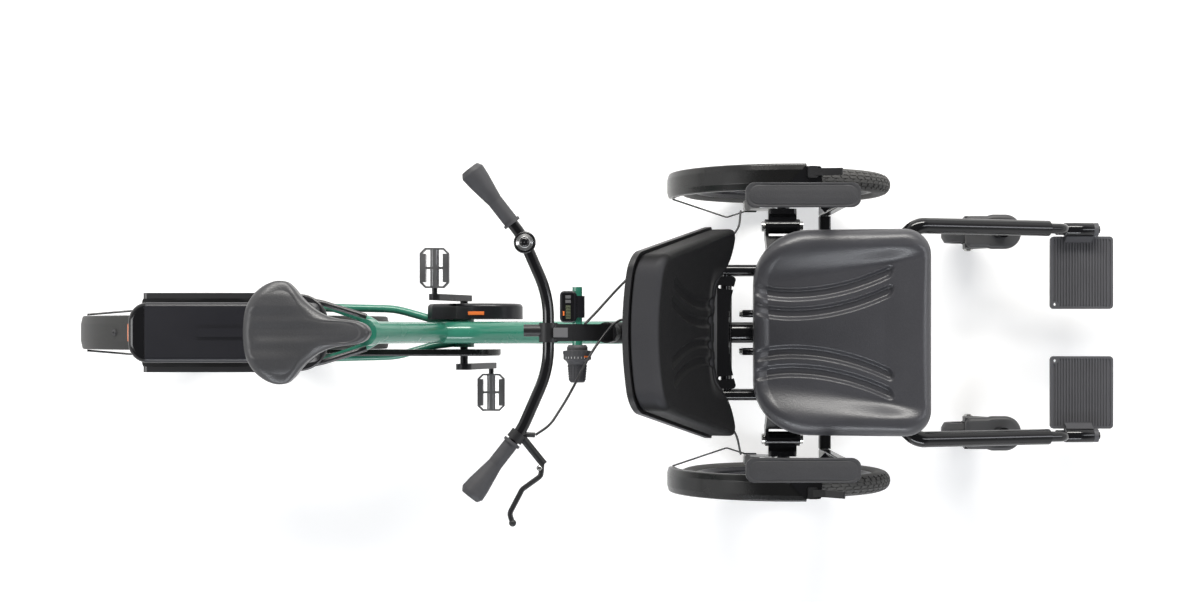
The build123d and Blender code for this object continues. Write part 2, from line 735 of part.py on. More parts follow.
# Castor forks trail behind their stems
fork_axle_z = castor_lift + castor_radius
with BuildPart() as castor_fork:
    with BuildSketch(Plane.XY.offset(crown_z)):
        with Locations((castor_x + 2, castor_y)):
            RectangleRounded(crown_length, crown_width, crown_width / 2 - 3)
        with Locations((castor_x - castor_trail / 2 - 8, castor_y)):
            RectangleRounded(castor_trail + 30, 2 * (fork_gap + fork_leg), 14)
    extrude(amount=crown_height)
    fillet(castor_fork.faces().sort_by(Axis.Z)[-1].edges(), 10)
    with BuildSketch(Plane.XY.offset(crown_z + crown_height)):
        with Locations((castor_x, castor_y)):
            Circle(castor_stem_radius)
    extrude(amount=36)
    for side in (-1, 1):
        with BuildSketch(Plane.XZ.offset(-(castor_y + side * (fork_gap + fork_leg / 2)) - fork_leg / 2)):
            with BuildLine():
                Polyline((castor_x + 14, crown_z + 2), (castor_x - castor_trail - 24, crown_z + 2),
                         (castor_x - castor_trail - 13, fork_axle_z), (castor_x - castor_trail + 13, fork_axle_z),
                         close=True)
            make_face()
            with Locations((castor_x - castor_trail, fork_axle_z)):
                Circle(13)
        extrude(amount=fork_leg)
    rod_y(castor_x - castor_trail, fork_axle_z, castor_y - fork_gap - fork_leg - 4,
          castor_y + fork_gap + fork_leg + 4, stub_radius - 1)
keep(castor_fork.part, "castor_fork_left")
keep(other_side(castor_fork.part), "castor_fork_right")

# Castor wheels with a hub that fills the fork to a small gap
with BuildPart() as castor_wheel:
    with BuildSketch(Plane.XY):
        Polygon((castor_radius, -9), (castor_radius, 9), (castor_radius - 7, castor_width / 2),
                (castor_radius - 24, castor_width / 2), (castor_radius - 27, 8), (20, 8),
                (16, fork_gap - seat_gap), (stub_radius - 1 + running, fork_gap - seat_gap),
                (stub_radius - 1 + running, -fork_gap + seat_gap), (16, -fork_gap + seat_gap), (20, -8),
                (castor_radius - 27, -8), (castor_radius - 24, -castor_width / 2),
                (castor_radius - 7, -castor_width / 2), align=None)
    revolve(axis=Axis.Y)
castor_wheel_left = Pos(castor_x - castor_trail, castor_y, fork_axle_z) * castor_wheel.part
keep(castor_wheel_left, "castor_wheel_left")
keep(other_side(castor_wheel_left), "castor_wheel_right")

# Footplates with a ribbed tread, a hole in the inner rear corner and a hinge tube along the outer edge
plate_rear_x = toe_x - plate_length
plate_middle = (plate_rear_x + plate_length / 2, plate_outer_y - plate_width / 2)
rib_count = int((plate_length - 16) / plate_rib_pitch)
with BuildPart() as footplate:
    with BuildSketch(Plane.XY.offset(plate_top_z - plate_rib - plate_thickness)):
        with Locations(plate_middle):
            RectangleRounded(plate_length, plate_width, 9)
    extrude(amount=plate_thickness)
    with BuildSketch(Plane.XY.offset(plate_top_z - plate_rib)):
        with Locations(plate_middle):
            RectangleRounded(plate_length, plate_width, 9)
            RectangleRounded(plate_length - 12, plate_width - 12, 5, mode=Mode.SUBTRACT)
            with GridLocations(plate_rib_pitch, 0, rib_count, 1):
                Rectangle(3.2, plate_width - 12)
        with Locations((plate_rear_x + 11, plate_outer_y - plate_width + 11)):
            Circle(8)
    extrude(amount=plate_rib)
    with Locations((plate_rear_x + 11, plate_outer_y - plate_width + 11, plate_top_z)):
        Hole(plate_hole_radius)
    hinge_from = hinge_x + 8 + seat_gap
    hinge_to = hinge_x + 9 + hinge_tube_length - seat_gap
    rod_x(hinge_from, hinge_to, hinge_y, hinge_z, hinge_tube_radius)
    with BuildSketch(Plane.YZ.offset(hinge_from + 6)) as web:
        Polygon((hinge_y + hinge_tube_radius - 1, hinge_z), (hinge_y - hinge_tube_radius + 1, hinge_z),
                (plate_outer_y - 16, plate_top_z - plate_rib - 1), (plate_outer_y - 16, plate_top_z - 10),
                (plate_outer_y, plate_top_z - 10), align=None)
    extrude(amount=hinge_tube_length - 14)
    rod_x(hinge_from - 1, hinge_to + 1, hinge_y, hinge_z, hinge_pin_radius + running, Mode.SUBTRACT)
keep(footplate.part, "footplate_left")
keep(other_side(footplate.part), "footplate_right")

# Steerer through the head tube, with a collar above it
with BuildPart() as steerer:
    with BuildSketch(head_plane.offset(head_bottom - seat_gap)):
        Circle(steerer_radius)
    extrude(amount=steerer_top - head_bottom + seat_gap)
    with BuildSketch(head_plane.offset(head_top + seat_gap)):
        Circle(head_radius - 1)
    extrude(amount=collar_height)
keep(steerer.part, "steerer")

# Gaiter: a folded rubber sleeve round the steerer
gaiter_low = head_top + seat_gap + collar_height
fold = (steerer_top - gaiter_low) / gaiter_folds
gaiter_points = []
for index in range(gaiter_folds):
    gaiter_points.append((gaiter_radius - 4, index * fold))
    gaiter_points.append((gaiter_radius, (index + 0.5) * fold))
with BuildPart() as gaiter:
    with BuildSketch(Plane.XZ):
        with BuildLine():
            Polyline((steerer_radius + slip, 0), *gaiter_points, (gaiter_radius - 4, steerer_top - gaiter_low),
                     (steerer_radius + slip, steerer_top - gaiter_low), close=True)
        make_face()
    revolve(axis=Axis.Z)
gaiter_placed = head_plane.offset(gaiter_low) * gaiter.part
keep(gaiter_placed, "gaiter")

# Stem: a boxed arm from the steerer's top up and back to the handlebar clamp, with its lever and end knob
stem_foot = head_plane.from_local_coords(Vector(0, 0, steerer_top + 20))
with BuildPart() as stem:
    with BuildSketch(head_plane.offset(steerer_top)):
        Circle(steerer_radius + 6)
    extrude(amount=36)
    with BuildSketch(Plane.XZ.offset(-stem_width / 2)):
        with BuildLine():
            FilletPolyline((stem_foot.X + 18, stem_foot.Z + 8), (stem_foot.X - 4, stem_foot.Z + 34),
                           (bar_x + 12, bar_z + 16), (bar_x - 10, bar_z + 6), (bar_x - 10, bar_z - 16),
                           (stem_foot.X - 16, stem_foot.Z - 18), radius=8, close=True)
        make_face()
    extrude(amount=stem_width)
    rod_y(bar_x, bar_z, -stem_width / 2 - 2, stem_width / 2 + 2, clamp_radius)
    rod_x(bar_x - 47, bar_x - clamp_radius + 6, 4, bar_z, 11.5)
    with BuildSketch(Plane.XY.offset(bar_z + clamp_radius - 4)):
        with Locations((bar_x + 24, 0)):
            RectangleRounded(30, 20, 5)
    extrude(amount=9)
    rod_y(bar_x, bar_z, -40, 40, bar_radius + slip, Mode.SUBTRACT)
keep(stem.part, "stem")

# Handlebar, bent back to the grips
bar_half = [Vector(*point) for point in bar_route]
bar_points = [Vector(point.X, -point.Y, point.Z) for point in bar_half] + bar_half[::-1]
with BuildPart() as handlebar:
    tube(bar_points, bar_radius, bar_bends)
keep(handlebar.part, "handlebar")

# Grips swell towards the bar's ends and close over them
grip_dir = (bar_half[0] - bar_half[1]).normalized()
grip_plane = Plane(origin=bar_half[0] + grip_dir * 5, z_dir=grip_dir * -1)
with BuildPart() as grips:
    with BuildSketch(Plane.XZ) as grip_profile:
        Polygon((0, 0), (grip_outer_radius - 6, 0), (grip_outer_radius, 9), (grip_outer_radius - 2, 30),
                (grip_inner_radius, 78), (grip_inner_radius, grip_length - 6),
                (grip_inner_radius + 3, grip_length - 6), (grip_inner_radius + 3, grip_length),
                (bar_radius + slip, grip_length), (bar_radius + slip, 5 - slip), (0, 5 - slip), align=None)
        fillet(grip_profile.vertices().group_by(Axis.Y)[2:4], 6)
    revolve(axis=Axis.Z)
grip_left = grip_plane * grips.part
with BuildPart() as grip_pair:
    add(grip_left)
    mirror(about=Plane.XZ)
keep(grip_pair.part, "grips")

# Bell on the left of the bar: base, ring and dome
bell_point = bar_half[1] + (bar_half[2] - bar_half[1]) * 0.12
bell_plane = Plane(origin=(bell_point.X, bell_point.Y, bell_point.Z + bar_radius - 6), z_dir=(0, 0, 1))
with BuildPart() as bell:
    with BuildSketch(Plane.XZ) as bell_profile:
        Polygon((0, 0), (13, 0), (20, 6), (20.5, 12), (17, 14), (16, 20), (11, 22), (9, 27), (0, 29), align=None)
    revolve(axis=Axis.Z)
    fillet(bell.edges().filter_by(GeomType.CIRCLE).sort_by(Axis.Z)[-1], 2)
bell_placed = bell_plane * bell.part
bell_solid = bell_placed - handlebar.part
keep(bell_solid, "bell")

# Brake lever on the right: clamp, body and a lever that reaches out in front of the grip
lever_points = ((-134, -250, 1058), (-136, -274, 1056), (-172, -300, 1056), (-196, -346, 1058),
                (-190, -364, 1058))
with BuildPart() as brake_lever:
    clamp_point = Vector(bar_half[1].X, -bar_half[1].Y, bar_half[1].Z) - Vector(10, 13, 0)
    clamp_dir = Vector(grip_dir.X, -grip_dir.Y, grip_dir.Z)
    with BuildSketch(Plane(origin=clamp_point, z_dir=clamp_dir).offset(-9)):
        Circle(bar_radius + 5)
    extrude(amount=18)
    tube([clamp_point + Vector(12, -4, 0), (-140, -240, 1058), (-130, -252, 1058)], 7.5, (8,))
    tube([clamp_point + Vector(6, 4, 0), (-148, -196, 1056)], 5)
    tube(lever_points, 5, (12, 14, 14))
    with Locations(lever_points[-1]):
        Sphere(7)
    add(handlebar.part, mode=Mode.SUBTRACT)
keep(brake_lever.part, "brake_lever")

# Brake cables as plain round cords
for route, name in ((lever_cable_route, "brake_cable_right"), (stem_cable_route, "brake_cable_left")):
    bends, length = cable_bends(route)
    with BuildPart() as brake_cable:
        tube(route, cable_radius, bends)
    keep(brake_cable.part, name)
    print(name, "bend radii", [round(bend) for bend in bends], "length", round(length))
    print(name, "section times length", round(pi * cable_radius ** 2 * length), "volume",
          round(brake_cable.part.volume))

# Main frame: head tube, swept main tube, seat tube, bottom bracket shell, riser and cross tube
with BuildPart() as main_frame:
    main_end = crank_centre + seat_dir * 105
    main_start = head_plane.from_local_coords(Vector(0, 0, 15))
    tube([main_start, (-60, 0, 548), (-300, 0, 398), main_end], tube_radius, (160, 120))
    with BuildSketch(Plane(origin=crank_centre, z_dir=seat_dir)):
        Circle(tube_radius - 1)
    extrude(amount=seat_tube_length)
    with BuildSketch(Plane(origin=seat_tube_top - seat_dir * 22, z_dir=seat_dir)):
        Circle(tube_radius + 3)
    extrude(amount=22)
    rod_y(crank_x, crank_z, -shell_half_width, shell_half_width, shell_radius)
    with BuildSketch(head_plane.offset(head_bottom)):
        Circle(head_radius)
    extrude(amount=head_top - head_bottom)
    tube([(-14, 0, 522), (-22, 0, 700), (cross_x, 0, cross_z)], 12, (90,))
    rod_y(cross_x, cross_z, -96, 92, cross_radius)
    with BuildSketch(head_plane.offset(head_bottom - 1)):
        Circle(steerer_radius + running)
    extrude(amount=head_top - head_bottom + 2, mode=Mode.SUBTRACT)
    with BuildSketch(Plane(origin=seat_tube_top, z_dir=seat_dir)):
        Circle(seat_post_radius + slip)
    extrude(amount=-seat_post_bore, mode=Mode.SUBTRACT)
    rod_y(crank_x, crank_z, -shell_half_width - 1, shell_half_width + 1, crank_axle_radius + running,
          Mode.SUBTRACT)
keep(main_frame.part, "main_frame")

# Rear stays with dropouts and the wheel's axle
stay_end_y = dropout_y + dropout_thickness / 2
with BuildPart() as rear_stays:
    for side in (-1, 1):
        tube([(-498, side * 14, 652), (-524, side * 28, 626), (-606, side * 54, 553),
              (rear_axle_x + 16, side * stay_end_y, rear_radius + 18)], stay_radius, (60, 120))
        tube([(crank_x - 6, side * 22, crank_z), (crank_x - 70, side * 30, crank_z + 2),
              (-500, side * 55, crank_z + 8), (rear_axle_x + 24, side * stay_end_y, rear_radius - 4)],
             stay_radius, (100, 200))
        with BuildSketch(Plane.XZ.offset(-side * stay_end_y - dropout_thickness / 2)):
            with Locations((rear_axle_x, rear_radius)):
                Circle(20)
            with Locations((rear_axle_x + 14, rear_radius + 8)):
                RectangleRounded(44, 40, 8)
        extrude(amount=dropout_thickness)
    rod_y(rear_axle_x, rear_radius, -82, 82, axle_radius)
    rod_y(rear_axle_x, rear_radius, 36.3, dropout_y + 1, spacer_radius)
    rod_y(rear_axle_x, rear_radius, -dropout_y - 1, -36.3, spacer_radius)
    for nut_y in (-80, 66):
        with BuildSketch(Plane.XZ.offset(-nut_y)):
            with Locations((rear_axle_x, rear_radius)):
                RegularPolygon(radius=10, side_count=6)
        extrude(amount=-14)
    with BuildSketch(Plane(origin=crank_centre, z_dir=seat_dir)):
        Circle(tube_radius - 3)
    extrude(amount=seat_tube_length, mode=Mode.SUBTRACT)
    rod_y(crank_x, crank_z, -shell_half_width - 1, shell_half_width + 1, shell_radius - 3, Mode.SUBTRACT)
    add(main_frame.part, mode=Mode.SUBTRACT)
keep(rear_stays.part, "rear_stays")

# Seat post in the seat tube, cut off level under the saddle
with BuildPart() as seat_post:
    with BuildSketch(Plane(origin=seat_tube_top - seat_dir * (seat_post_bore - 20), z_dir=seat_dir)):
        Circle(seat_post_radius)
    extrude(amount=400)
    split(bisect_by=Plane.XY.offset(saddle_base_z - seat_gap), keep=Keep.BOTTOM)
keep(seat_post.part, "seat_post")

# Saddle: pear shaped, with a rounded top
saddle_outline = ((-729, 60), (-690, 102), (-628, 96), (-577, 37), (-478, 22))
with BuildPart() as saddle:
    with BuildSketch(Plane.XY.offset(saddle_base_z)) as saddle_sketch:
        Polygon(*saddle_outline, *[(x, -y) for x, y in saddle_outline[::-1]], align=None)
        fillet(saddle_sketch.vertices(), 20)
    extrude(amount=57)
    fillet(saddle.faces().sort_by(Axis.Z)[-1].edges(), 16)
keep(saddle.part, "saddle")

# Rear mudguard
with BuildPart() as rear_mudguard:
    add(rear_wheel_plane * make_fender(mudguard_radius, mudguard_width, mudguard_wall, mudguard_start,
                                       mudguard_sweep))
keep(rear_mudguard.part, "rear_mudguard")

# Mudguard stays from the dropouts to the rear lip
lip = radians(158)
with BuildPart() as mudguard_stays:
    for side in (-1, 1):
        tube([(rear_axle_x - 10, side * (dropout_y + dropout_thickness + 3 + seat_gap), rear_radius + 12),
              (rear_axle_x + 338 * cos(lip), side * (mudguard_width / 2 + 3), rear_radius + 338 * sin(lip))], 2.5)
keep(mudguard_stays.part, "mudguard_stays")

# Carrier: deck, slotted sides, round front loop, legs to the dropouts and struts to the seat tube
side_y = (carrier_width - carrier_side) / 2
carrier_length = carrier_front_x - carrier_rear_x
carrier_middle_x = (carrier_front_x + carrier_rear_x) / 2
side_length = carrier_length - carrier_bend
deck_holes = 4
deck_pitch = (carrier_length - 40) / deck_holes
loop_y = side_y - 1
leg_foot_y = dropout_y + dropout_thickness + 14
with BuildPart() as carrier:
    with BuildSketch(Plane.XY.offset(carrier_z - 4)) as deck:
        with Locations((carrier_middle_x, 0)):
            Rectangle(carrier_length - 4, carrier_width - 10)
        fillet(deck.vertices().group_by(Axis.X)[0], 16)
        fillet(deck.vertices().group_by(Axis.X)[-1], carrier_bend - 4)
        with Locations((carrier_middle_x, 0)):
            with GridLocations(deck_pitch, 0, deck_holes, 1):
                RectangleRounded(deck_pitch - 30, 84, 10, mode=Mode.SUBTRACT)
    extrude(amount=4)
    loop_z = carrier_z - carrier_loop_radius - 1
    loop_rear_x = carrier_front_x - carrier_bend - 20
    tube([(loop_rear_x, -loop_y, loop_z), (carrier_front_x, -loop_y, loop_z), (carrier_front_x, loop_y, loop_z),
          (loop_rear_x, loop_y, loop_z)], carrier_loop_radius, (carrier_bend, carrier_bend))
    for side in (-1, 1):
        with BuildSketch(Plane.XZ.offset(-side * side_y - carrier_side / 2)):
            with Locations((carrier_rear_x + side_length / 2 + 4, carrier_z + 2)):
                RectangleRounded(side_length - 8, carrier_side_height, 9)
                with GridLocations(side_length * 0.42, 0, 2, 1):
                    SlotOverall(62, 13, mode=Mode.SUBTRACT)
        extrude(amount=carrier_side)
        tube([(rear_axle_x + 4, side * leg_foot_y, rear_radius + 26),
              (rear_axle_x + 40, side * side_y, carrier_z - 12)], 6)
        tube([(carrier_front_x - carrier_bend - 12, side * (side_y - 2), carrier_z - 8),
              (carrier_front_x - 6, side * 62, carrier_z - 14), (-520, side * 34, 672)], 6, (30,))
    for foot_y in (dropout_y + dropout_thickness, -dropout_y - dropout_thickness - 20):
        rod_y(rear_axle_x + 4, rear_radius + 20, foot_y + seat_gap, foot_y + 20 - seat_gap, 8)
    add(main_frame.part, mode=Mode.SUBTRACT)
    add(rear_stays.part, mode=Mode.SUBTRACT)
    add(mudguard_stays.part, mode=Mode.SUBTRACT)
keep(carrier.part, "carrier")

# Battery on the deck, round at its rear end, with a raised grip along its top
with BuildPart() as battery:
    with BuildSketch(Plane.XY.offset(carrier_z + seat_gap)) as battery_outline:
        with Locations((battery_rear_x + battery_length / 2, 0)):
            Rectangle(battery_length, battery_width)
        fillet(battery_outline.vertices().group_by(Axis.X)[0], 40)
        fillet(battery_outline.vertices().group_by(Axis.X)[-1], 16)
    extrude(amount=battery_height)
    fillet(battery.faces().sort_by(Axis.Z)[-1].edges(), 12)
    battery_top = carrier_z + seat_gap + battery_height
    with BuildSketch(Plane.XY.offset(battery_top)):
        with Locations((battery_front_x - battery_length / 2 + 12, 0)):
            RectangleRounded(120, 18, 6)
    extrude(amount=4)
keep(battery.part, "battery")

# Motor cover: a drum over the bottom bracket with a tail along the stay
with BuildPart() as motor_cover:
    with BuildSketch(Plane.XZ.offset(-motor_outer_y)):
        with Locations((motor_x, motor_z)):
            Circle(motor_radius)
        with BuildLine():
            Polyline((motor_x - 30, motor_z + 78), (-412, 336), (-424, 318), (-420, 292),
                     (motor_x - 30, motor_z - 78), close=True)
        make_face()
    extrude(amount=motor_outer_y - motor_inner_y)
    fillet(motor_cover.faces().sort_by(Axis.Y)[-1].edges(), 9)
    rod_y(crank_x, crank_z, 0, 100, crank_axle_radius + 5, Mode.SUBTRACT)
    add(main_frame.part, mode=Mode.SUBTRACT)
    add(rear_stays.part, mode=Mode.SUBTRACT)
keep(motor_cover.part, "motor_cover")

# Chain case: a flat closed case that tapers to the rear hub, with the stay passing through
with BuildPart() as chain_case:
    with BuildSketch(Plane.XZ.offset(case_inner_y)):
        with Locations((crank_x, crank_z)):
            Circle(case_front_radius)
        with Locations((rear_axle_x, rear_radius)):
            Circle(case_rear_radius)
        make_hull()
    extrude(amount=case_thickness)
    fillet(chain_case.faces().sort_by(Axis.Y)[0].edges(), 5)
    rod_y(crank_x, crank_z, -100, 0, crank_axle_radius + 5, Mode.SUBTRACT)
    add(rear_stays.part, mode=Mode.SUBTRACT)
keep(chain_case.part, "chain_case")

# Display on the cross tube's left, tilted to the rider
with BuildPart() as display:
    with BuildSketch(Plane.XY.offset(cross_z + 5)):
        with Locations((cross_x - 18, 52)):
            RectangleRounded(34, 64, 10)
    extrude(amount=20)
    fillet(display.faces().sort_by(Axis.Z)[-1].edges(), 4)
    rod_y(cross_x, cross_z, 30, 74, cross_radius + 5)
    add(main_frame.part, mode=Mode.SUBTRACT)
keep(display.part, "display")

# Twist shifter on the cross tube's right: dome, ring and tapering grip, turned about the tube
with BuildPart() as shifter_turned:
    with BuildSketch(Plane.XZ):
        Polygon((cross_radius + slip, 25), (18, 25), (21, 30), (21, 36), (28, 37), (28, 54), (22, 58),
                (19, 64), (16, 98), (13, 101), (0, 101), (0, 96 + slip), (cross_radius + slip, 96 + slip),
                align=None)
    revolve(axis=Axis.Z)
shifter = Plane(origin=(cross_x, 0, cross_z), x_dir=(1, 0, 0), z_dir=(0, -1, 0)) * shifter_turned.part
keep(shifter, "shifter")

# Crank set: axle, two arms and pedal spindles
with BuildPart() as crank_set:
    rod_y(crank_x, crank_z, -crank_arm_y - crank_arm_thickness, crank_arm_y + crank_arm_thickness,
          crank_axle_radius)
    for side, turn in ((1, 90 + crank_angle), (-1, crank_angle - 90)):
        end = Vector(crank_length, 0, 0).rotate(Axis.Y, -turn) + crank_centre
        with BuildSketch(Plane.XZ.offset(-side * (crank_arm_y + crank_arm_thickness / 2)
                                         - crank_arm_thickness / 2)):
            with Locations((crank_x, crank_z)):
                Circle(19)
            with Locations((end.X, end.Z)):
                Circle(13)
            make_hull()
        extrude(amount=crank_arm_thickness)
        rod_y(end.X, end.Z, side * (crank_arm_y + 2), side * (pedal_y + pedal_width / 2 - 6),
              pedal_spindle_radius)
keep(crank_set.part, "crank_set")


# Pedal about its spindle: barrel, side cages, ribbed blocks and a forked centre
def make_pedal(side, turn):
    centre = Vector(crank_length, 0, 0).rotate(Axis.Y, -turn) + crank_centre
    pedal_plane = Plane(origin=(centre.X, side * pedal_y, centre.Z), z_dir=(0, 0, 1))
    half_width = pedal_width / 2
    half_length = pedal_length / 2
    with BuildPart() as pedal:
        with BuildSketch(pedal_plane.offset(-pedal_height / 2 + 3)):
            with Locations((0, -half_width + 2), (0, half_width - 2)):
                RectangleRounded(pedal_length - 22, 4, 1.5)
            with Locations((-half_length + 2, 0), (half_length - 2, 0)):
                RectangleRounded(4, pedal_width - 22, 1.5)
            for corner_x, corner_y in ((1, 1), (1, -1), (-1, 1), (-1, -1)):
                with BuildLine():
                    Polyline((corner_x * half_length, corner_y * (half_width - 12)),
                             (corner_x * (half_length - 12), corner_y * half_width),
                             (corner_x * (half_length - 14), corner_y * (half_width - 4)),
                             (corner_x * (half_length - 4), corner_y * (half_width - 14)), close=True)
                make_face()
            with Locations((0, 0)):
                Rectangle(8, pedal_width - 6)
                Rectangle(pedal_length - 6, 5)
        extrude(amount=pedal_height - 6)
        with BuildSketch(pedal_plane.offset(-pedal_height / 2)):
            with Locations((-half_length + 9, 0), (half_length - 9, 0)):
                RectangleRounded(10, pedal_width - 26, 2)
        extrude(amount=pedal_height)
        rod_y(centre.X, centre.Z, side * pedal_y - half_width, side * pedal_y + half_width, 10)
        rod_y(centre.X, centre.Z, side * pedal_y - side * (half_width + 1), side * pedal_y + side * (half_width - 5),
              pedal_spindle_radius + running, Mode.SUBTRACT)
    return pedal.part


keep(make_pedal(1, 90 + crank_angle), "pedal_left")
keep(make_pedal(-1, crank_angle - 90), "pedal_right")

for part in finished:
    export_step(part, f"parts/{part.label}.step")
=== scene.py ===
import bpy
import bmesh
import json
from math import acos, cos, hypot, pi, radians, sin, sqrt, tan
from mathutils import Matrix, Vector


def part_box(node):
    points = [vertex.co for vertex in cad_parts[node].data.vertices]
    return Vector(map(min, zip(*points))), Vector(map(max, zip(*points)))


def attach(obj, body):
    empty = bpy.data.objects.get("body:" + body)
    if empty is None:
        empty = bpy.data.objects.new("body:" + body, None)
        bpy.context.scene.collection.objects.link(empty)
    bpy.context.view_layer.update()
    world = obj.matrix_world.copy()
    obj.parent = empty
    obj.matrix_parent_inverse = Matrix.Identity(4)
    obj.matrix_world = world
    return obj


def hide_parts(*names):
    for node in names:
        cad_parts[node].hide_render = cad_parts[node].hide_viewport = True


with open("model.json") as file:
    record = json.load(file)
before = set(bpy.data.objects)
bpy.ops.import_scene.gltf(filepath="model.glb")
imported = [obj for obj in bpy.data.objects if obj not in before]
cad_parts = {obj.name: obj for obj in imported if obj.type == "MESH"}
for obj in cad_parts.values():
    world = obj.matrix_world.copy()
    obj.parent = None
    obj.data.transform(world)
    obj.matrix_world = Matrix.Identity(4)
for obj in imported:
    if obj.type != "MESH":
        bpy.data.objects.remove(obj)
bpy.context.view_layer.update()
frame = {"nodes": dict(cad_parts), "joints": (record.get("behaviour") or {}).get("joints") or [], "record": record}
nodes = frame["nodes"]
print("frame loaded:", len(nodes), "nodes")

# Places taken from the frame, in metres
pivots = {joint["name"]: Vector(joint["pos_m"]) for joint in frame["joints"]}


# Camera and light

view = {"height": 4.447, "ahead": -0.023, "lens": 53.19, "shiftUp": 0.0263}
camera = bpy.data.objects.new("camera", bpy.data.cameras.new("camera"))
camera.location = (view["ahead"], 0, view["height"])
camera.data.lens = view["lens"]
camera.data.sensor_width = 36
camera.data.shift_y = view["shiftUp"]
bpy.context.scene.collection.objects.link(camera)
bpy.context.scene.camera = camera
bpy.context.scene.view_settings.view_transform = "Standard"


def softLamp(name, place, aim, size, watts, colour):
    lamp = bpy.data.lights.new(name, "AREA")
    lamp.shape = "RECTANGLE"
    lamp.size, lamp.size_y = size
    lamp.energy = watts
    lamp.color = colour
    holder = bpy.data.objects.new(name, lamp)
    holder.location = place
    holder.rotation_euler = (Vector(aim) - Vector(place)).to_track_quat("-Z", "Y").to_euler()
    bpy.context.scene.collection.objects.link(holder)


lamps = {
    "lampLeft": {"place": (0.2, 3.7, 2.9), "aim": (0, 0, 0.4), "size": (4.6, 0.8), "watts": 245,
                 "colour": (1.0, 0.98, 0.94)},
    "lampRight": {"place": (0.0, -3.7, 2.7), "aim": (0, 0, 0.4), "size": (4.6, 0.7), "watts": 100,
                  "colour": (0.92, 0.95, 1.0)},
    "lampFront": {"place": (3.2, 0.2, 3.0), "aim": (0.3, 0, 0.5), "size": (0.7, 2.0), "watts": 22,
                  "colour": (0.93, 0.95, 1.0)},
    "lampRear": {"place": (-3.2, 0.0, 3.2), "aim": (-0.4, 0, 0.5), "size": (0.7, 2.0), "watts": 26,
                 "colour": (1, 1, 1)},
}
for name, values in lamps.items():
    softLamp(name, **values)
print("camera and lamps placed")


# Shader expressions: a wrapped socket adds Math nodes as it is used in sums

class Signal:
    def __init__(self, bench, socket):
        self.bench = bench
        self.socket = socket

    def sum(self, operation, first, second=0.0):
        return self.bench.node("Math", {"operation": operation}, {0: first, 1: second})

    def __add__(self, other):
        return self.sum("ADD", self, other)

    def __radd__(self, other):
        return self.sum("ADD", other, self)

    def __sub__(self, other):
        return self.sum("SUBTRACT", self, other)

    def __rsub__(self, other):
        return self.sum("SUBTRACT", other, self)

    def __mul__(self, other):
        return self.sum("MULTIPLY", self, other)

    def __rmul__(self, other):
        return self.sum("MULTIPLY", other, self)

    def __lt__(self, other):
        return self.sum("LESS_THAN", self, other)

    def __gt__(self, other):
        return self.sum("GREATER_THAN", self, other)

    def size(self):
        return self.sum("ABSOLUTE", self)

    def root(self):
        return self.sum("SQRT", self)


# The nodes of one material; its sockets are named with _ for a space

class Bench:
    def __init__(self, name, **shader):
        self.material = bpy.data.materials.new(name)
        self.material.use_nodes = True
        self.tree = self.material.node_tree
        self.shader = self.tree.nodes["Principled BSDF"]
        for socket, value in shader.items():
            self.shader.inputs[socket.replace("_", " ")].default_value = value

    def node(self, kind, settings, values, out=0):
        made = self.tree.nodes.new("ShaderNode" + kind)
        for key, value in settings.items():
            setattr(made, key, value)
        for key, value in values.items():
            self.feed(made.inputs[key], value)
        return Signal(self, made.outputs[out])

    def feed(self, socket, value):
        if isinstance(value, Signal):
            self.tree.links.new(value.socket, socket)
        elif isinstance(value, tuple) and len(value) == 3 and len(socket.default_value) == 4:
            socket.default_value = (*value, 1)
        else:
            socket.default_value = value

    def place(self):
        return self.node("TexCoord", {}, {}, "Object")

    def axes(self, place):
        return [self.node("SeparateXYZ", {}, {0: place}, axis) for axis in "XYZ"]

    def noise(self, scale, detail, rough=0.5):
        return self.node("TexNoise", {}, {"Vector": self.place(), "Scale": scale, "Detail": detail,
                                          "Roughness": rough}, "Fac")

    def cells(self, scale, feature="F1"):
        values = {"Vector": self.place(), "Scale": scale}
        return self.node("TexVoronoi", {"feature": feature}, values, "Distance")

    def blend(self, fac, low, high):
        return self.node("Mix", {"data_type": "RGBA"}, {0: fac, 6: low, 7: high}, 2)

    def bump(self, height, distance, strength):
        return self.node("Bump", {}, {"Height": height, "Distance": distance, "Strength": strength}, "Normal")

    def set(self, **links):
        for socket, value in links.items():
            self.feed(self.shader.inputs[socket.replace("_", " ")], value)
        return self.material


class SkyBench(Bench):
    def __init__(self, world):
        self.tree = world.node_tree


def tint(colour, factor):
    return tuple(channel * factor for channel in colour)


# Finishes

def glossPaint(name, colour, depth=1.0, rough=0.22, coat=0.6):
    bench = Bench(name, Coat_Weight=coat, Coat_Roughness=0.06, Specular_IOR_Level=0.5)
    cloud = bench.noise(9, 3)
    peel = bench.noise(420, 1)
    shades = tint(colour, 1 - 0.12 * depth), tint(colour, 1 + 0.15 * depth)
    return bench.set(Base_Color=bench.blend(cloud, *shades),
                     Roughness=rough + 0.12 * bench.noise(26, 4),
                     Normal=bench.bump(peel, 0.00012, 0.25))


def moulded(name, colour, rough=0.42, grain=0.00018):
    bench = Bench(name, Specular_IOR_Level=0.5)
    pits = bench.cells(900)
    smudge = bench.noise(14, 4)
    return bench.set(Base_Color=bench.blend(smudge, tint(colour, 0.85), tint(colour, 1.25)),
                     Roughness=rough + 0.14 * (smudge - 0.5),
                     Normal=bench.bump(pits + 0.5 * bench.noise(1600, 1), grain, 0.55))


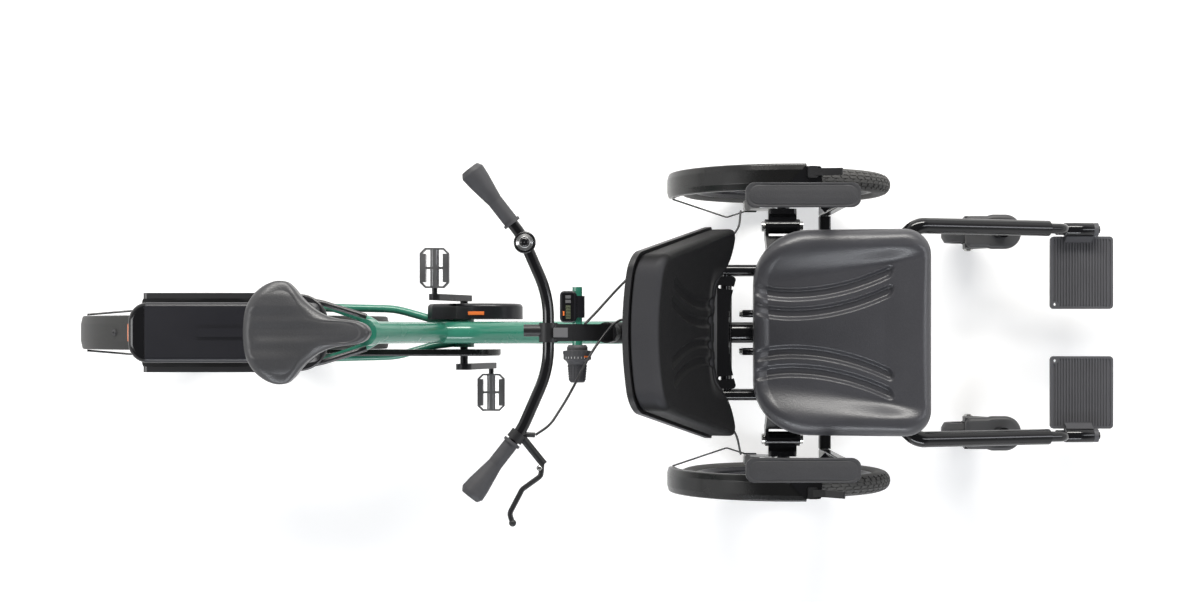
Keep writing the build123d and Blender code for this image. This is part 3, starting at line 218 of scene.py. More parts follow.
def skin(name, colour, rough=0.38, scale=380, depth=0.00035, sheen=0.36):
    bench = Bench(name, Specular_IOR_Level=sheen)
    pebbles = bench.cells(scale, feature="SMOOTH_F1")
    creases = bench.noise(60, 5, rough=0.6)
    worn = bench.noise(7, 3)
    mottle = worn * 0.6 + pebbles * 0.4
    return bench.set(Base_Color=bench.blend(mottle, tint(colour, 0.8), tint(colour, 1.35)),
                     Roughness=rough + 0.16 * (worn - 0.5) + 0.1 * pebbles,
                     Normal=bench.bump(pebbles + 0.35 * creases, depth, 0.6))


def rubber(name, colour, rough=0.6, grain=0.0002):
    bench = Bench(name, Specular_IOR_Level=0.4)
    dust = bench.noise(22, 5, rough=0.65)
    return bench.set(Base_Color=bench.blend(dust, tint(colour, 0.8), tint(colour, 1.5)),
                     Roughness=rough + 0.2 * (dust - 0.5),
                     Normal=bench.bump(bench.noise(700, 2), grain, 0.5))


def metal(name, colour, rough=0.25, depth=0.00008, metallic=1.0):
    bench = Bench(name, Metallic=metallic)
    lines = bench.noise(500, 3)
    stain = bench.noise(30, 4)
    return bench.set(Base_Color=bench.blend(stain, tint(colour, 0.86), tint(colour, 1.1)),
                     Roughness=rough + 0.14 * (stain - 0.5) + 0.1 * (lines - 0.5),
                     Normal=bench.bump(lines, depth, 0.4))


finishes = {
    "frame_black": glossPaint("frameBlack", (0.006, 0.006, 0.007), rough=0.08, coat=0.1),
    "frame_green": glossPaint("frameGreen", (0.032, 0.215, 0.142), 1.3, 0.2),
    "fender_black": glossPaint("fenderBlack", (0.006, 0.006, 0.006), 0.6, 0.2, 0.1),
    "battery_black": moulded("batteryBlack", (0.012, 0.012, 0.015), 0.3, 0.00010),
    "carrier_black": glossPaint("carrierBlack", (0.02, 0.02, 0.022), 1.0, 0.34),
    "moulded_black": moulded("mouldedBlack", (0.011, 0.011, 0.012)),
    "seat_skin": skin("seatSkin", (0.047, 0.047, 0.053), 0.31, sheen=0.62),
    "pad_skin": skin("padSkin", (0.045, 0.045, 0.048), 0.5),
    "saddle_skin": skin("saddleSkin", (0.050, 0.050, 0.053), 0.32, sheen=0.55),
    "gaiter_rubber": rubber("gaiterRubber", (0.02, 0.02, 0.021), 0.5),
    "grip_rubber": rubber("gripRubber", (0.05, 0.05, 0.054), 0.55),
    "tyre_rubber": rubber("tyreRubber", (0.066, 0.065, 0.063), 0.62),
    "castor_rubber": rubber("castorRubber", (0.05, 0.05, 0.052), 0.5),
    "rim_metal": metal("rimMetal", (0.05, 0.05, 0.055), 0.3, metallic=0.8),
    "disc_steel": metal("discSteel", (0.6, 0.6, 0.6), 0.28),
    "bolt_steel": metal("boltSteel", (0.72, 0.72, 0.7), 0.18),
    "wire_steel": glossPaint("wireSteel", (0.03, 0.03, 0.03)),
    "cast_silver": metal("castSilver", (0.5, 0.5, 0.5), 0.4, depth=0.0002),
    "post_metal": metal("postMetal", (0.04, 0.04, 0.042), 0.28, metallic=0.8),
    "crank_metal": metal("crankMetal", (0.045, 0.045, 0.048), 0.3, metallic=0.8),
    "pedal_metal": metal("pedalMetal", (0.40, 0.40, 0.41), 0.36),
    "bell_metal": metal("bellMetal", (0.62, 0.62, 0.62), 0.2),
    "fork_grey": moulded("forkGrey", (0.05, 0.05, 0.052), 0.45),
    "plate_grey": moulded("plateGrey", (0.074, 0.074, 0.080), 0.5),
    "cable_black": rubber("cableBlack", (0.018, 0.018, 0.019), 0.35, 0.00005),
}
slotOf = {entry["node"]: entry["material_slot"] for entry in frame["record"]["subparts"]}
print("finishes made:", len(finishes))


def dress(piece, finish):
    if piece.material_slots:
        for holder in piece.material_slots:
            holder.material = finish
    else:
        piece.data.materials.append(finish)


for name, node in nodes.items():
    dress(node, finishes[slotOf[name]])


# Mesh helpers

def newPiece(name, mesh, body, slot, rounded=True):
    bmesh.ops.recalc_face_normals(mesh, faces=mesh.faces)
    data = bpy.data.meshes.new(name)
    mesh.to_mesh(data)
    mesh.free()
    for face in data.polygons:
        face.use_smooth = rounded
    piece = bpy.data.objects.new(name, data)
    bpy.context.scene.collection.objects.link(piece)
    piece.data.materials.append(finishes[slot])
    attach(piece, body)
    return piece


# The points of a closed outline, set again at even steps along it
def evenly(points, count):
    total = len(points)
    lengths = [0]
    for index in range(total):
        lengths.append(lengths[-1] + (points[(index + 1) % total] - points[index]).length)
    result = []
    index = 0
    for step in range(count):
        target = lengths[-1] * step / count
        while lengths[index + 1] < target:
            index += 1
        span = lengths[index + 1] - lengths[index]
        share = (target - lengths[index]) / span if span else 0
        result.append(points[index].lerp(points[(index + 1) % total], share))
    return result


# An outline from corners, each (x, y, radius), anticlockwise
def roundedOutline(corners, count):
    points = []
    total = len(corners)
    for index, (x, y, radius) in enumerate(corners):
        here = Vector((x, y))
        back = (Vector(corners[index - 1][:2]) - here).normalized()
        ahead = (Vector(corners[(index + 1) % total][:2]) - here).normalized()
        half = acos(max(-1, min(1, back.dot(ahead)))) / 2
        reach = radius / tan(half)
        centre = here + (back + ahead).normalized() * (radius / sin(half))
        first = here + back * reach - centre
        last = here + ahead * reach - centre
        swing = first.angle(last)
        for step in range(13):
            share = step / 12
            mix = (first * sin((1 - share) * swing) + last * sin(share * swing)) / sin(swing)
            points.append(centre + mix)
    return evenly(points, count)


def smooth(low, high, value):
    share = max(0, min(1, (value - low) / (high - low)))
    return share * share * (3 - 2 * share)


# Faces between each ring of points and the next
def bridge(mesh, rows):
    for here, there in zip(rows, rows[1:]):
        for index in range(len(here)):
            follow = (index + 1) % len(here)
            mesh.faces.new((here[index], here[follow], there[follow], there[index]))


# A padded form: rings from the middle of the underside, round the edge, to the middle of the top
def pillow(outline, centre, low, high, edgeLow, edgeHigh, shape, rings, place=None):
    centre = Vector(centre)
    profile = []
    for step in range(6):
        profile.append((edgeLow + 0.05 * (5 - step) / 5, low, 0))
    for step in range(1, 7):
        turn = step / 6 * pi / 2
        profile.append((edgeLow * (1 - sin(turn)), low + edgeLow * (1 - cos(turn)), 0))
    for step in range(1, 5):
        profile.append((0, low + edgeLow + (high - edgeHigh - low - edgeLow) * step / 5, 0))
    for step in range(13):
        turn = step / 12 * pi / 2
        profile.append((edgeHigh * (1 - cos(turn)), high - edgeHigh + edgeHigh * sin(turn), step / 12))
    mesh = bmesh.new()
    loops = []
    for inset, height, weight in profile:
        ring = []
        for point in outline:
            inward = centre - point
            spot = point + inward.normalized() * min(inset, inward.length * 0.98)
            ring.append((spot, height, weight))
        loops.append(ring)
    for step in range(1, rings + 1):
        share = (1 - step / (rings + 0.5)) ** 0.9
        ring = []
        for point in outline:
            inward = centre - point
            start = point + inward.normalized() * edgeHigh
            ring.append((centre.lerp(start, share), high, 1))
        loops.append(ring)
    made = []
    for ring in loops:
        row = []
        for spot, height, weight in ring:
            raised = Vector((spot.x, spot.y, height + shape(spot.x, spot.y, weight)))
            row.append(mesh.verts.new(place(raised) if place else raised))
        made.append(row)
    bridge(mesh, made)
    mesh.faces.new(made[0][::-1])
    mesh.faces.new(made[-1])
    return mesh


# A solid turned about an axis; profile is (radius, along) and closed, and centre is in metres
def turned(profile, centre, axis, steps, mesh=None):
    mesh = mesh or bmesh.new()
    turn = Vector(axis).to_track_quat("Z", "Y").to_matrix()
    rows = []
    for step in range(steps):
        angle = 2 * pi * step / steps
        row = []
        for radius, along in profile:
            spot = Vector((radius * cos(angle), radius * sin(angle), along))
            row.append(mesh.verts.new(Vector(centre) + turn @ spot))
        rows.append(row)
    bridge(mesh, rows + rows[:1])
    return mesh


# Screw head: round or hexagonal, with a socket, on a washer, at a place and along a direction
def screwHead(mesh, place, axis, radius, sides=24, height=None):
    height = height or radius * 0.7
    turn = Vector(axis).to_track_quat("Z", "Y").to_matrix()
    washer, socket = radius * 1.35, radius * 0.4
    levels = ((washer, 0), (washer, radius * 0.18), (radius, radius * 0.18), (radius, height * 0.8),
              (radius * 0.82, height), (socket, height), (socket, height * 0.55))
    rows = []
    for spread, level in levels:
        row = []
        for step in range(sides):
            angle = 2 * pi * step / sides
            spot = Vector((spread * cos(angle), spread * sin(angle), level))
            row.append(mesh.verts.new(Vector(place) + turn @ spot))
        rows.append(row)
    bridge(mesh, rows)
    mesh.faces.new(rows[0][::-1])
    mesh.faces.new(rows[-1])


# Box between two corners, turned about a point
def block(mesh, low, high, bevel=0.0, turn=None, about=None):
    corners = []
    for x in (low[0], high[0]):
        for y in (low[1], high[1]):
            for z in (low[2], high[2]):
                spot = Vector((x, y, z))
                if turn:
                    spot = Vector(about) + turn @ (spot - Vector(about))
                corners.append(mesh.verts.new(spot))
    faces = [mesh.faces.new([corners[i] for i in face]) for face in
             ((0, 1, 3, 2), (4, 6, 7, 5), (0, 4, 5, 1), (2, 3, 7, 6), (0, 2, 6, 4), (1, 5, 7, 3))]
    if bevel:
        edges = {edge for face in faces for edge in face.edges}
        bmesh.ops.bevel(mesh, geom=list(edges), offset=bevel, segments=2, affect="EDGES", profile=0.6)


# Small box set on a place: its half length and width, how far it goes down and up, and its lean
def chip(mesh, place, reach, bevel=0.0, lean=0.0):
    along, across, down, up = reach
    block(mesh, (place[0] - along, place[1] - across, place[2] - down),
          (place[0] + along, place[1] + across, place[2] + up), bevel, Matrix.Rotation(lean, 3, "Y"), place)


# Rod between two points, closed at both ends
def rodMesh(mesh, start, finish, radius, sides=24):
    along = (Vector(finish) - Vector(start)).length
    edge = min(0.0012, radius * 0.25)
    turned(((0.0001, 0), (radius - edge, 0), (radius, edge), (radius, along - edge), (radius - edge, along),
            (0.0001, along)), start, Vector(finish) - Vector(start), sides, mesh)


# Finger channels of a cushion: how far a place lies in the nearest one, from 0 to 1
def channelCut(cushion, side, along, spread=1.0):
    deepest = 0
    for offset in cushion["channels"]:
        middle = offset + cushion["bend"] * (along - cushion["middle"]) ** 2 * spread
        across = abs(side - middle)
        if along > cushion["end"]:
            across = hypot(across, along - cushion["end"])
        deepest = max(deepest, smooth(cushion["width"] + 0.003, cushion["width"] - cushion["wall"], across))
    return deepest


# Seat cushion: moulded skin with raised sides and two finger channels on each side
seat = {"corners": ((0.318, -0.226, 0.120), (0.709, -0.2305, 0.058), (0.709, 0.2305, 0.058),
                    (0.318, 0.226, 0.120)),
        "centre": (0.50, 0), "edges": (0.012, 0.034), "bolster": (0.10, 0.195), "flare": 0.18,
        "flareFrom": 0.33, "raised": 0.004, "dish": 0.022, "front": (0.71, 0.60), "rear": (0.41, 0.318),
        "rearFall": 0.010,
        "channels": (0.084, 0.042), "bend": 1.08, "rearSpread": 1.6, "middle": 0.400, "end": 0.612,
        "width": 0.0135, "wall": 0.008, "depth": 0.009}


def seatShape(x, y, weight):
    side = abs(y)
    flare = seat["flare"] * max(0, x - seat["flareFrom"])
    bolster = smooth(seat["bolster"][0] + flare, seat["bolster"][1], side)
    dish = -seat["dish"] * (1 - bolster) * smooth(*seat["front"], x) - seat["raised"]
    rearFall = -seat["rearFall"] * smooth(*seat["rear"], x)
    cut = channelCut(seat, side, x, 1.0 if x > seat["middle"] else seat["rearSpread"])
    return weight * (dish + seat["raised"] * bolster + rearFall - seat["depth"] * cut)


seatLow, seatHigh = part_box("seat_cushion")
seatMesh = pillow(roundedOutline(seat["corners"], 520), seat["centre"], seatLow.z, seatHigh.z, *seat["edges"],
                  seatShape, 110)
seatPiece = newPiece("seatSkin", seatMesh, "root", "seat_skin")
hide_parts("seat_cushion")
print("seat made")


# Backrest cushion in its reclined plane, bowed round the back, with finger channels like the seat's
back = {"foot": (0.196, 0, 0.600), "recline": radians(21), "bow": 0.758, "thickness": 0.058,
        "corners": ((-0.203, 0.0, 0.026), (-0.170, 0.0, 0.030), (-0.108, 0.036, 0.028), (0.108, 0.036, 0.028),
                    (0.170, 0.0, 0.030), (0.203, 0.0, 0.026), (0.222, 0.036, 0.028), (0.147, 0.455, 0.046),
                    (-0.147, 0.455, 0.046), (-0.222, 0.036, 0.028)),
        "centre": (0, 0.235), "edges": (0.006, 0.019), "wing": (0.09, 0.22), "flare": (0.40, 0.05, 0.10),
        "hollow": 0.005, "hollowTop": (0.45, 0.33), "lip": 0.016, "lipUp": (0.13, 0.035),
        "lipSide": (0.150, 0.095), "channels": (0.058, 0.021), "bend": 0.87, "middle": 0.140, "end": 0.352,
        "width": 0.0105, "wall": 0.006, "depth": 0.0055}
backUp = Vector((-sin(back["recline"]), 0, cos(back["recline"])))
backOut = Vector((cos(back["recline"]), 0, sin(back["recline"])))


# A place on the backrest: across it, up it and out of it
def onBack(across, up, out):
    return Vector(back["foot"]) + Vector((0, across, 0)) + backUp * up + backOut * out


def backShape(u, v, weight):
    side = abs(u)
    top, foot, spread = back["flare"]
    wing = smooth(back["wing"][0] + spread * smooth(top, foot, v), back["wing"][1], side)
    hollow = -back["hollow"] * (1 - wing) * smooth(*back["hollowTop"], v)
    lip = -back["lip"] * smooth(*back["lipUp"], v) * smooth(*back["lipSide"], side)
    return weight * (hollow + lip - back["depth"] * channelCut(back, side, v))


def backPlace(spot):
    radius = back["bow"] - spot.z
    return onBack(spot.x, spot.y, spot.z + radius - sqrt(radius ** 2 - spot.x ** 2))


backMesh = pillow(roundedOutline(back["corners"], 560), back["centre"], 0.0005, back["thickness"],
                  *back["edges"], backShape, 120, backPlace)
backPiece = newPiece("backrestSkin", backMesh, "root", "seat_skin")
# Its own finish: black on the face, with painted light on what looks up: greyer the more it faces up, mottled at
# random
backFinish = {"face": (0.0095, 0.0095, 0.010), "dust": (0.050, 0.050, 0.054), "clean": 0.5, "dusty": 0.9}
dusty = Bench("backSkin", Specular_IOR_Level=0.06)
facing = dusty.axes(dusty.node("NewGeometry", {}, {}, "Normal"))[2]
# Painted light: the share of grey grows as the normal turns upward, so the top band is painted lighter as if lit
# from above
paintedLightShare = dusty.node("MapRange", {"interpolation_type": "SMOOTHSTEP"},
                     {"Value": facing, "From Min": backFinish["clean"], "From Max": backFinish["dusty"]})
pebbles = dusty.cells(380, feature="SMOOTH_F1")
cover = paintedLightShare * (0.85 + 0.3 * dusty.noise(7, 3))
dress(backPiece, dusty.set(
    Base_Color=dusty.blend(cover, backFinish["face"], backFinish["dust"]),
    Roughness=0.4 + 0.1 * pebbles,
    Normal=dusty.bump(pebbles + 0.35 * dusty.noise(60, 5, rough=0.6), 0.00035, 0.6)))
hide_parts("backrest_cushion")
print("backrest made")


# Armrest pads: a flat lid inside a welt
pad = {"length": 0.240, "width": 0.051, "rear": 0.282, "y": 0.288, "top": 0.750, "thickness": 0.024,
       "corner": 0.017, "edges": (0.003, 0.0034), "groove": 0.0048, "grooveDepth": 0.0016, "crown": 0.0012}


def padMesh(side):
    middle = side * pad["y"]
    half = pad["width"] / 2
    rear, front = pad["rear"], pad["rear"] + pad["length"]
    right, left = middle - half, middle - half + pad["width"]
    corners = [(x, y, pad["corner"]) for x, y in ((rear, right), (front, right), (front, left), (rear, left))]

    def crown(x, y, weight):
        end = max(rear + half - x, x - front + half, 0)
        inset = half - hypot(y - middle, end)
        groove = pad["grooveDepth"] * (1 - smooth(0, 0.0018, abs(inset - pad["groove"])))
        return weight * (pad["crown"] * smooth(0.005, 0.02, inset) - groove - pad["crown"])

    return pillow(roundedOutline(corners, 260), ((rear + front) / 2, middle),
                  pad["top"] - pad["thickness"], pad["top"], *pad["edges"], crown, 44)


for side, word in ((1, "Left"), (-1, "Right")):
    padPiece = newPiece("armrestPad" + word, padMesh(side), "root", "pad_skin")
    if side == 1:
        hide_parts("armrest_pads")
print("armrest pads made")


# Saddle: a wide rear with two sitting lobes, a narrow nose and a shallow valley
saddle = {"half": ((-0.7310, 0.0), (-0.7302, 0.020), (-0.7275, 0.040), (-0.7215, 0.058), (-0.710, 0.076),
                   (-0.694, 0.0905), (-0.677, 0.0995), (-0.661, 0.1030), (-0.645, 0.1005), (-0.631, 0.0885),
                   (-0.619, 0.0735), (-0.604, 0.0575), (-0.586, 0.0435), (-0.566, 0.0335), (-0.545, 0.0280),
                   (-0.522, 0.0250), (-0.502, 0.0215), (-0.489, 0.0155), (-0.482, 0.0075), (-0.4797, 0.0)),
          "centre": -0.625, "base": 0.893, "top": 0.952, "edges": (0.008, 0.021), "lobes": 0.006,
          "valley": 0.0045, "nose": 0.008, "tail": 0.004, "fall": 0.013, "lowered": 0.004}


def saddleOutline(count):
    half = saddle["half"]
    points = [Vector((x, -y)) for x, y in half] + [Vector((x, y)) for x, y in half[-2:0:-1]]
    total = len(points)
    curve = []
    for index in range(total):
        before, start, finish, after = (points[(index + step) % total] for step in (-1, 0, 1, 2))
        for step in range(12):
            t = step / 12
            curve.append(0.5 * (2 * start + (finish - before) * t
                                + (2 * before - 5 * start + 4 * finish - after) * t ** 2
                                + (3 * start - before - 3 * finish + after) * t ** 3))
    return evenly(curve, count)


def saddleShape(x, y, weight):
    side = abs(y)
    rear = smooth(-0.56, -0.67, x)
    half = 0.030 + 0.070 * rear
    fall = min(1.3, side / half)
    lobes = saddle["lobes"] * rear * smooth(0.03, 0.055, side) * smooth(0.103, 0.07, side)
    valley = -saddle["valley"] * smooth(0.024, 0.004, side)
    valley *= smooth(-0.725, -0.69, x) * smooth(-0.49, -0.56, x)
    nose = -saddle["nose"] * smooth(-0.60, -0.485, x)
    tail = saddle["tail"] * smooth(-0.64, -0.72, x)
    return weight * (lobes + valley + nose + tail - saddle["fall"] * fall ** 2.2 - saddle["lowered"])


saddleMesh = pillow(saddleOutline(460), (saddle["centre"], 0), saddle["base"], saddle["top"],
                    *saddle["edges"], saddleShape, 80)
saddlePiece = newPiece("saddleSkin", saddleMesh, "bicycle", "saddle_skin")
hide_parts("saddle")
print("saddle made")


# Tyres: a carcass with raised tread blocks, inside the same outer radius
tread = {"width": 0.047, "depth": 0.0019, "sunk": 0.0004, "shoulder": 1.15, "blockReach": 1.02,
         "around": 168, "across": 34,
         "blocks": ((0.02, 0.30, 0.04, 0.80, 0.55), (0.36, 0.66, 0.10, 0.86, -0.25),
                    (0.72, 0.96, 0.16, 0.80, 0.0))}
tyres = {
    "front_tyre_left": {"body": "front_wheel_left", "radius": 0.250, "bead": 0.2071, "pitches": 66},
    "front_tyre_right": {"body": "front_wheel_right", "radius": 0.250, "bead": 0.2071, "pitches": 66},
    "rear_tyre": {"body": "rear_wheel", "radius": 0.326, "bead": 0.2831, "pitches": 86},
}


def tyreMesh(centre, radius, width, bead, pitches):
    mesh = bmesh.new()
    core = radius - width / 2
    section = width / 2

    def spot(turn, lean, height):
        reach = core + (section + height) * cos(lean)
        return Vector((centre.x + reach * cos(turn), centre.y + (section + height) * sin(lean),
                       centre.z + reach * sin(turn)))

    edge = acos((bead - core) / section)
    steps = tread["across"]
    profile = []
    for step in range(steps + 1):
        lean = edge * (2 * step / steps - 1)
        groove = -tread["depth"] * smooth(tread["shoulder"], 1.0, abs(lean))
        rib = 0.0005 if 1.45 < abs(lean) < 1.62 else 0
        profile.append((lean, groove + rib - tread["sunk"]))
    rows = []
    around = tread["around"]
    for step in range(around):
        turn = 2 * pi * step / around
        rows.append([mesh.verts.new(spot(turn, lean, height)) for lean, height in profile])
    for index in range(around):
        here, there = rows[index], rows[(index + 1) % around]
        for step in range(steps):
            mesh.faces.new((here[step], here[step + 1], there[step + 1], there[step]))
        mesh.faces.new((here[-1], here[0], there[0], there[-1]))
    pitch = 2 * pi / pitches
    reach = tread["blockReach"]
    for number in range(pitches):
        for side in (1, -1):
            shift = 0 if side > 0 else 0.5
            for inner, outer, start, finish, slant in tread["blocks"]:
                base = []
                top = []
                for share in (0, 0.5, 1):
                    along = start + (finish - start) * share
                    for lean in (inner, outer):
                        bend = slant * lean
                        turn = (number + shift + along + bend) * pitch
                        base.append(spot(turn, side * lean * reach, -tread["depth"] - tread["sunk"]))
                        tight = 0.05 + 0.90 * share
                        leanIn = lean + (0.012 if lean == inner else -0.012)
                        turnIn = (number + shift + start + (finish - start) * tight + bend) * pitch
                        top.append(spot(turnIn, side * leanIn * reach, 0))
                low = [mesh.verts.new(place) for place in base]
                up = [mesh.verts.new(place) for place in top]
                mesh.faces.new((up[0], up[1], up[3], up[2]))
                mesh.faces.new((up[2], up[3], up[5], up[4]))
                border = (0, 1, 3, 5, 4, 2)
                for step in range(6):
                    first, second = border[step], border[(step + 1) % 6]
                    mesh.faces.new((low[first], low[second], up[second], up[first]))
    return mesh


carcassFaces = tread["around"] * (tread["across"] + 1)
for name, values in tyres.items():
    low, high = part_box(name)
    centre = pivots[values["body"] + "_spin"]
    middle = Vector((centre.x, (low.y + high.y) / 2, centre.z))
    mesh = tyreMesh(middle, values["radius"], tread["width"], values["bead"], values["pitches"])
    tyrePiece = newPiece(name.replace("_", "") + "Tread", mesh, values["body"], "tyre_rubber", rounded=False)
    for face in tyrePiece.data.polygons:
        face.use_smooth = face.index < carcassFaces  # the blocks stay sharp
    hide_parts(name)
print("tyres made")


# Plain finishes of the small trim
finishes.update({
    "orange_lens": moulded("orangeLens", (0.85, 0.20, 0.045), 0.25, 0.00004),
    "readout_glass": glossPaint("readoutGlass", (0.10, 0.115, 0.07), 0.4, 0.12),
    "mark_white": moulded("markWhite", (0.65, 0.65, 0.65), 0.4, 0.00004),
    "key_grey": moulded("keyGrey", (0.13, 0.13, 0.135), 0.4, 0.00006),
    "tail_grey": moulded("tailGrey", (0.036, 0.036, 0.035), 0.5, 0.0002),
})
dress(nodes["rear_mudguard"], finishes["tail_grey"])


# Display: dark glass, readout with digits, two keys and an orange mark
display = {"top": 0.885, "glass": ((-0.0985, 0.0245), (-0.0755, 0.0785)),
           "readout": ((-0.0918, 0.0275), (-0.0822, 0.0545)), "mark": ((-0.0975, 0.0340), (-0.0945, 0.0430)),
           "digits": (0.0315, 0.0365, 0.0430, 0.0490), "digitHalf": 0.0012,
           "bars": (-0.0905, -0.0872, -0.0841), "barWidth": 0.0007,
           "keys": (0.0625, 0.0715), "keyHalf": 0.0032, "keyEnds": (-0.0925, -0.0815)}


def onDisplay(mesh, corners, down, up, bevel=0.0):
    low, high = corners
    block(mesh, (*low, display["top"] + down), (*high, display["top"] + up), bevel)


glassMesh = bmesh.new()
onDisplay(glassMesh, display["glass"], -0.001, 0.0004, 0.0003)
newPiece("displayGlass", glassMesh, "bicycle", "frame_black", False)
readoutMesh = bmesh.new()
onDisplay(readoutMesh, display["readout"], 0, 0.0008, 0.0002)
newPiece("displayReadout", readoutMesh, "bicycle", "readout_glass", False)
segments = bmesh.new()
for place in display["digits"]:
    near, far = place - display["digitHalf"], place + display["digitHalf"]
    for bar in display["bars"]:
        onDisplay(segments, ((bar, near), (bar + display["barWidth"], far)), 0.0008, 0.0010)
    first, last = display["bars"][0], display["bars"][-1] + display["barWidth"]
    onDisplay(segments, ((first, far), (last, far + 0.0004)), 0.0008, 0.0010)
newPiece("displaySegments", segments, "bicycle", "frame_black", False)
keys = bmesh.new()
for place in display["keys"]:
    (rear, front), half = display["keyEnds"], display["keyHalf"]
    onDisplay(keys, ((rear, place - half), (front, place + half)), 0, 0.0014, 0.0006)
newPiece("displayKeys", keys, "bicycle", "key_grey", False)
mark = bmesh.new()
onDisplay(mark, display["mark"], 0, 0.0009, 0.0003)

# Orange lenses: on the motor cover and the battery's rear, and the mark on the twist ring
motorLens = {"place": (-0.306, 0.044, 0.3995), "reach": (0.0190, 0.0042, 0.002, 0.0022), "lean": -11.4}
rearLens = {"low": (-1.0050, -0.0185, 0.737), "high": (-0.9960, 0.0185, 0.765)}
ring = {"x": -0.069, "z": 0.860, "radius": 0.028, "ribs": 20, "ribY": -0.0405, "rise": 0.0002,
        "mark": 42.7, "markY": -0.0485, "ticks": 7, "firstTick": -52, "tickStep": 14, "tickY": -0.0505}
grip = {"ribs": 16, "rows": 6, "start": -0.066, "pitch": 0.0052, "radius": 0.0188, "taper": 0.0029,
        "length": 0.034}


def onRing(lean, radius, y):
    return ring["x"] + radius * sin(lean), y, ring["z"] + radius * cos(lean)


chip(mark, motorLens["place"], motorLens["reach"], 0.0014, radians(motorLens["lean"]))
block(mark, rearLens["low"], rearLens["high"], 0.0022)
lean = radians(ring["mark"])
chip(mark, onRing(lean, ring["radius"], ring["markY"]), (0.006, 0.0016, 0.0008, 0.0006), 0.0003, lean)
newPiece("orangeMarks", mark, "bicycle", "orange_lens", False)

# Twist ring: raised ribs round it, white ticks, and rows of ribs on the rubber grip
ribs = bmesh.new()
ticks = bmesh.new()
for step in range(ring["ribs"]):
    lean = radians(360 * step / ring["ribs"] + 4)
    place = onRing(lean, ring["radius"] + ring["rise"], ring["ribY"])
    chip(ribs, place, (0.0016, 0.0030, 0.001, 0.0008), 0.0005, lean)
for step in range(ring["ticks"]):
    lean = radians(ring["firstTick"] + ring["tickStep"] * step)
    chip(ticks, onRing(lean, ring["radius"], ring["tickY"]), (0.0005, 0.0018, 0.0004, 0.0004), 0, lean)
for step in range(grip["ribs"]):
    lean = radians(360 * step / grip["ribs"])
    for row in range(grip["rows"]):
        start = grip["start"] - grip["pitch"] * row
        radius = grip["radius"] - grip["taper"] * (-start - 0.064) / grip["length"]
        chip(ribs, onRing(lean, radius, start - 0.0022), (0.0017, 0.0022, 0.001, 0.0009), 0.0006, lean)
newPiece("twistRibs", ribs, "bicycle", "grip_rubber", False)
newPiece("twistTicks", ticks, "bicycle", "mark_white", False)
print("display and twist grip dressed")

# Battery: a paler panel in the grip, and the darker rear cap behind a fine seam
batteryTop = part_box("battery")[1].z
battery = {"panelLow": (-0.8500, -0.0076, -0.0042), "panelHigh": (-0.7370, 0.0076, -0.0026),
           "seam": -0.962, "seamWidth": 0.0012, "case": (0.013, 0.013, 0.017), "cap": (0.006, 0.006, 0.007)}
panel = bmesh.new()
lift = Vector((0, 0, batteryTop))
block(panel, Vector(battery["panelLow"]) + lift, Vector(battery["panelHigh"]) + lift, 0.0006)
newPiece("gripPanel", panel, "bicycle", "fork_grey", False)
case = Bench("batteryCase", Specular_IOR_Level=0.5)
along = case.axes(case.place())[0] + nodes["battery"].matrix_world.translation.x
capped = along < battery["seam"]
line = (along - battery["seam"]).size() < battery["seamWidth"]
smudge = case.noise(14, 4)
dress(nodes["battery"], case.set(
    Base_Color=case.blend(capped, battery["case"], battery["cap"]),
    Roughness=0.32 - 0.18 * capped + 0.12 * (smudge - 0.5),
    Normal=case.bump(0.2 * case.cells(900) - 4 * line, 0.00012, 0.5)))

# Mudguard: the screw in its tail
tailScrew = {"place": (-1.0740, 0, 0.6072), "axis": (-0.597, 0, 0.802), "radius": 0.0055}
guard = bmesh.new()
screwHead(guard, tailScrew["place"], tailScrew["axis"], tailScrew["radius"])
newPiece("mudguardScrew", guard, "bicycle", "fork_grey", False)
print("battery and mudguard dressed")

# Bell: black base round the silver ring, and a glossy dome
bell = {"place": (-0.166, 0.1712, 1.0673),
        "base": ((0.0150, 0.0058), (0.0203, 0.0058), (0.0209, 0.0068), (0.0212, 0.0118), (0.0205, 0.0130),
                 (0.0172, 0.0146), (0.0168, 0.0140), (0.0150, 0.0100)),
        "dome": ((0.0001, 0.0230), (0.0098, 0.0222), (0.0101, 0.0240), (0.0096, 0.0264), (0.0082, 0.0284),
                 (0.0058, 0.0298), (0.0030, 0.0304), (0.0001, 0.0306))}
for name, profile in (("bellBase", bell["base"]), ("bellDome", bell["dome"])):
    newPiece(name, turned(profile, bell["place"], (0, 0, 1), 64), "root", "frame_black")

# Stem: pale clamp lever let into the top
stemLever = {"low": (-0.1118, -0.0092, 1.0722), "high": (-0.0842, 0.0092, 1.0744)}
leverMesh = bmesh.new()
block(leverMesh, stemLever["low"], stemLever["high"], 0.0012)
newPiece("stemLever", leverMesh, "root", "key_grey", False)

# Back plate: pale flange strip with two scallops
flange = {"half": 0.117, "low": -0.132, "high": -0.092, "out": -0.0052, "thick": 0.0008, "scallop": 0.006,
          "scallopY": 0.052, "steps": 48}
strip = bmesh.new()
rows = []
inner, outer = flange["out"], flange["out"] + flange["thick"]
for step in range(flange["steps"] + 1):
    across = -flange["half"] + 2 * flange["half"] * step / flange["steps"]
    top = flange["high"] - flange["scallop"] * smooth(0.030, 0.010, abs(abs(across) - flange["scallopY"]))
    ends = (flange["low"], inner), (flange["low"], outer), (top, outer), (top, inner)
    rows.append([strip.verts.new(onBack(across, up, out)) for up, out in ends])
bridge(strip, rows)
strip.faces.new(rows[0])
strip.faces.new(rows[-1][::-1])
newPiece("flangeStrip", strip, "root", "cast_silver", False)

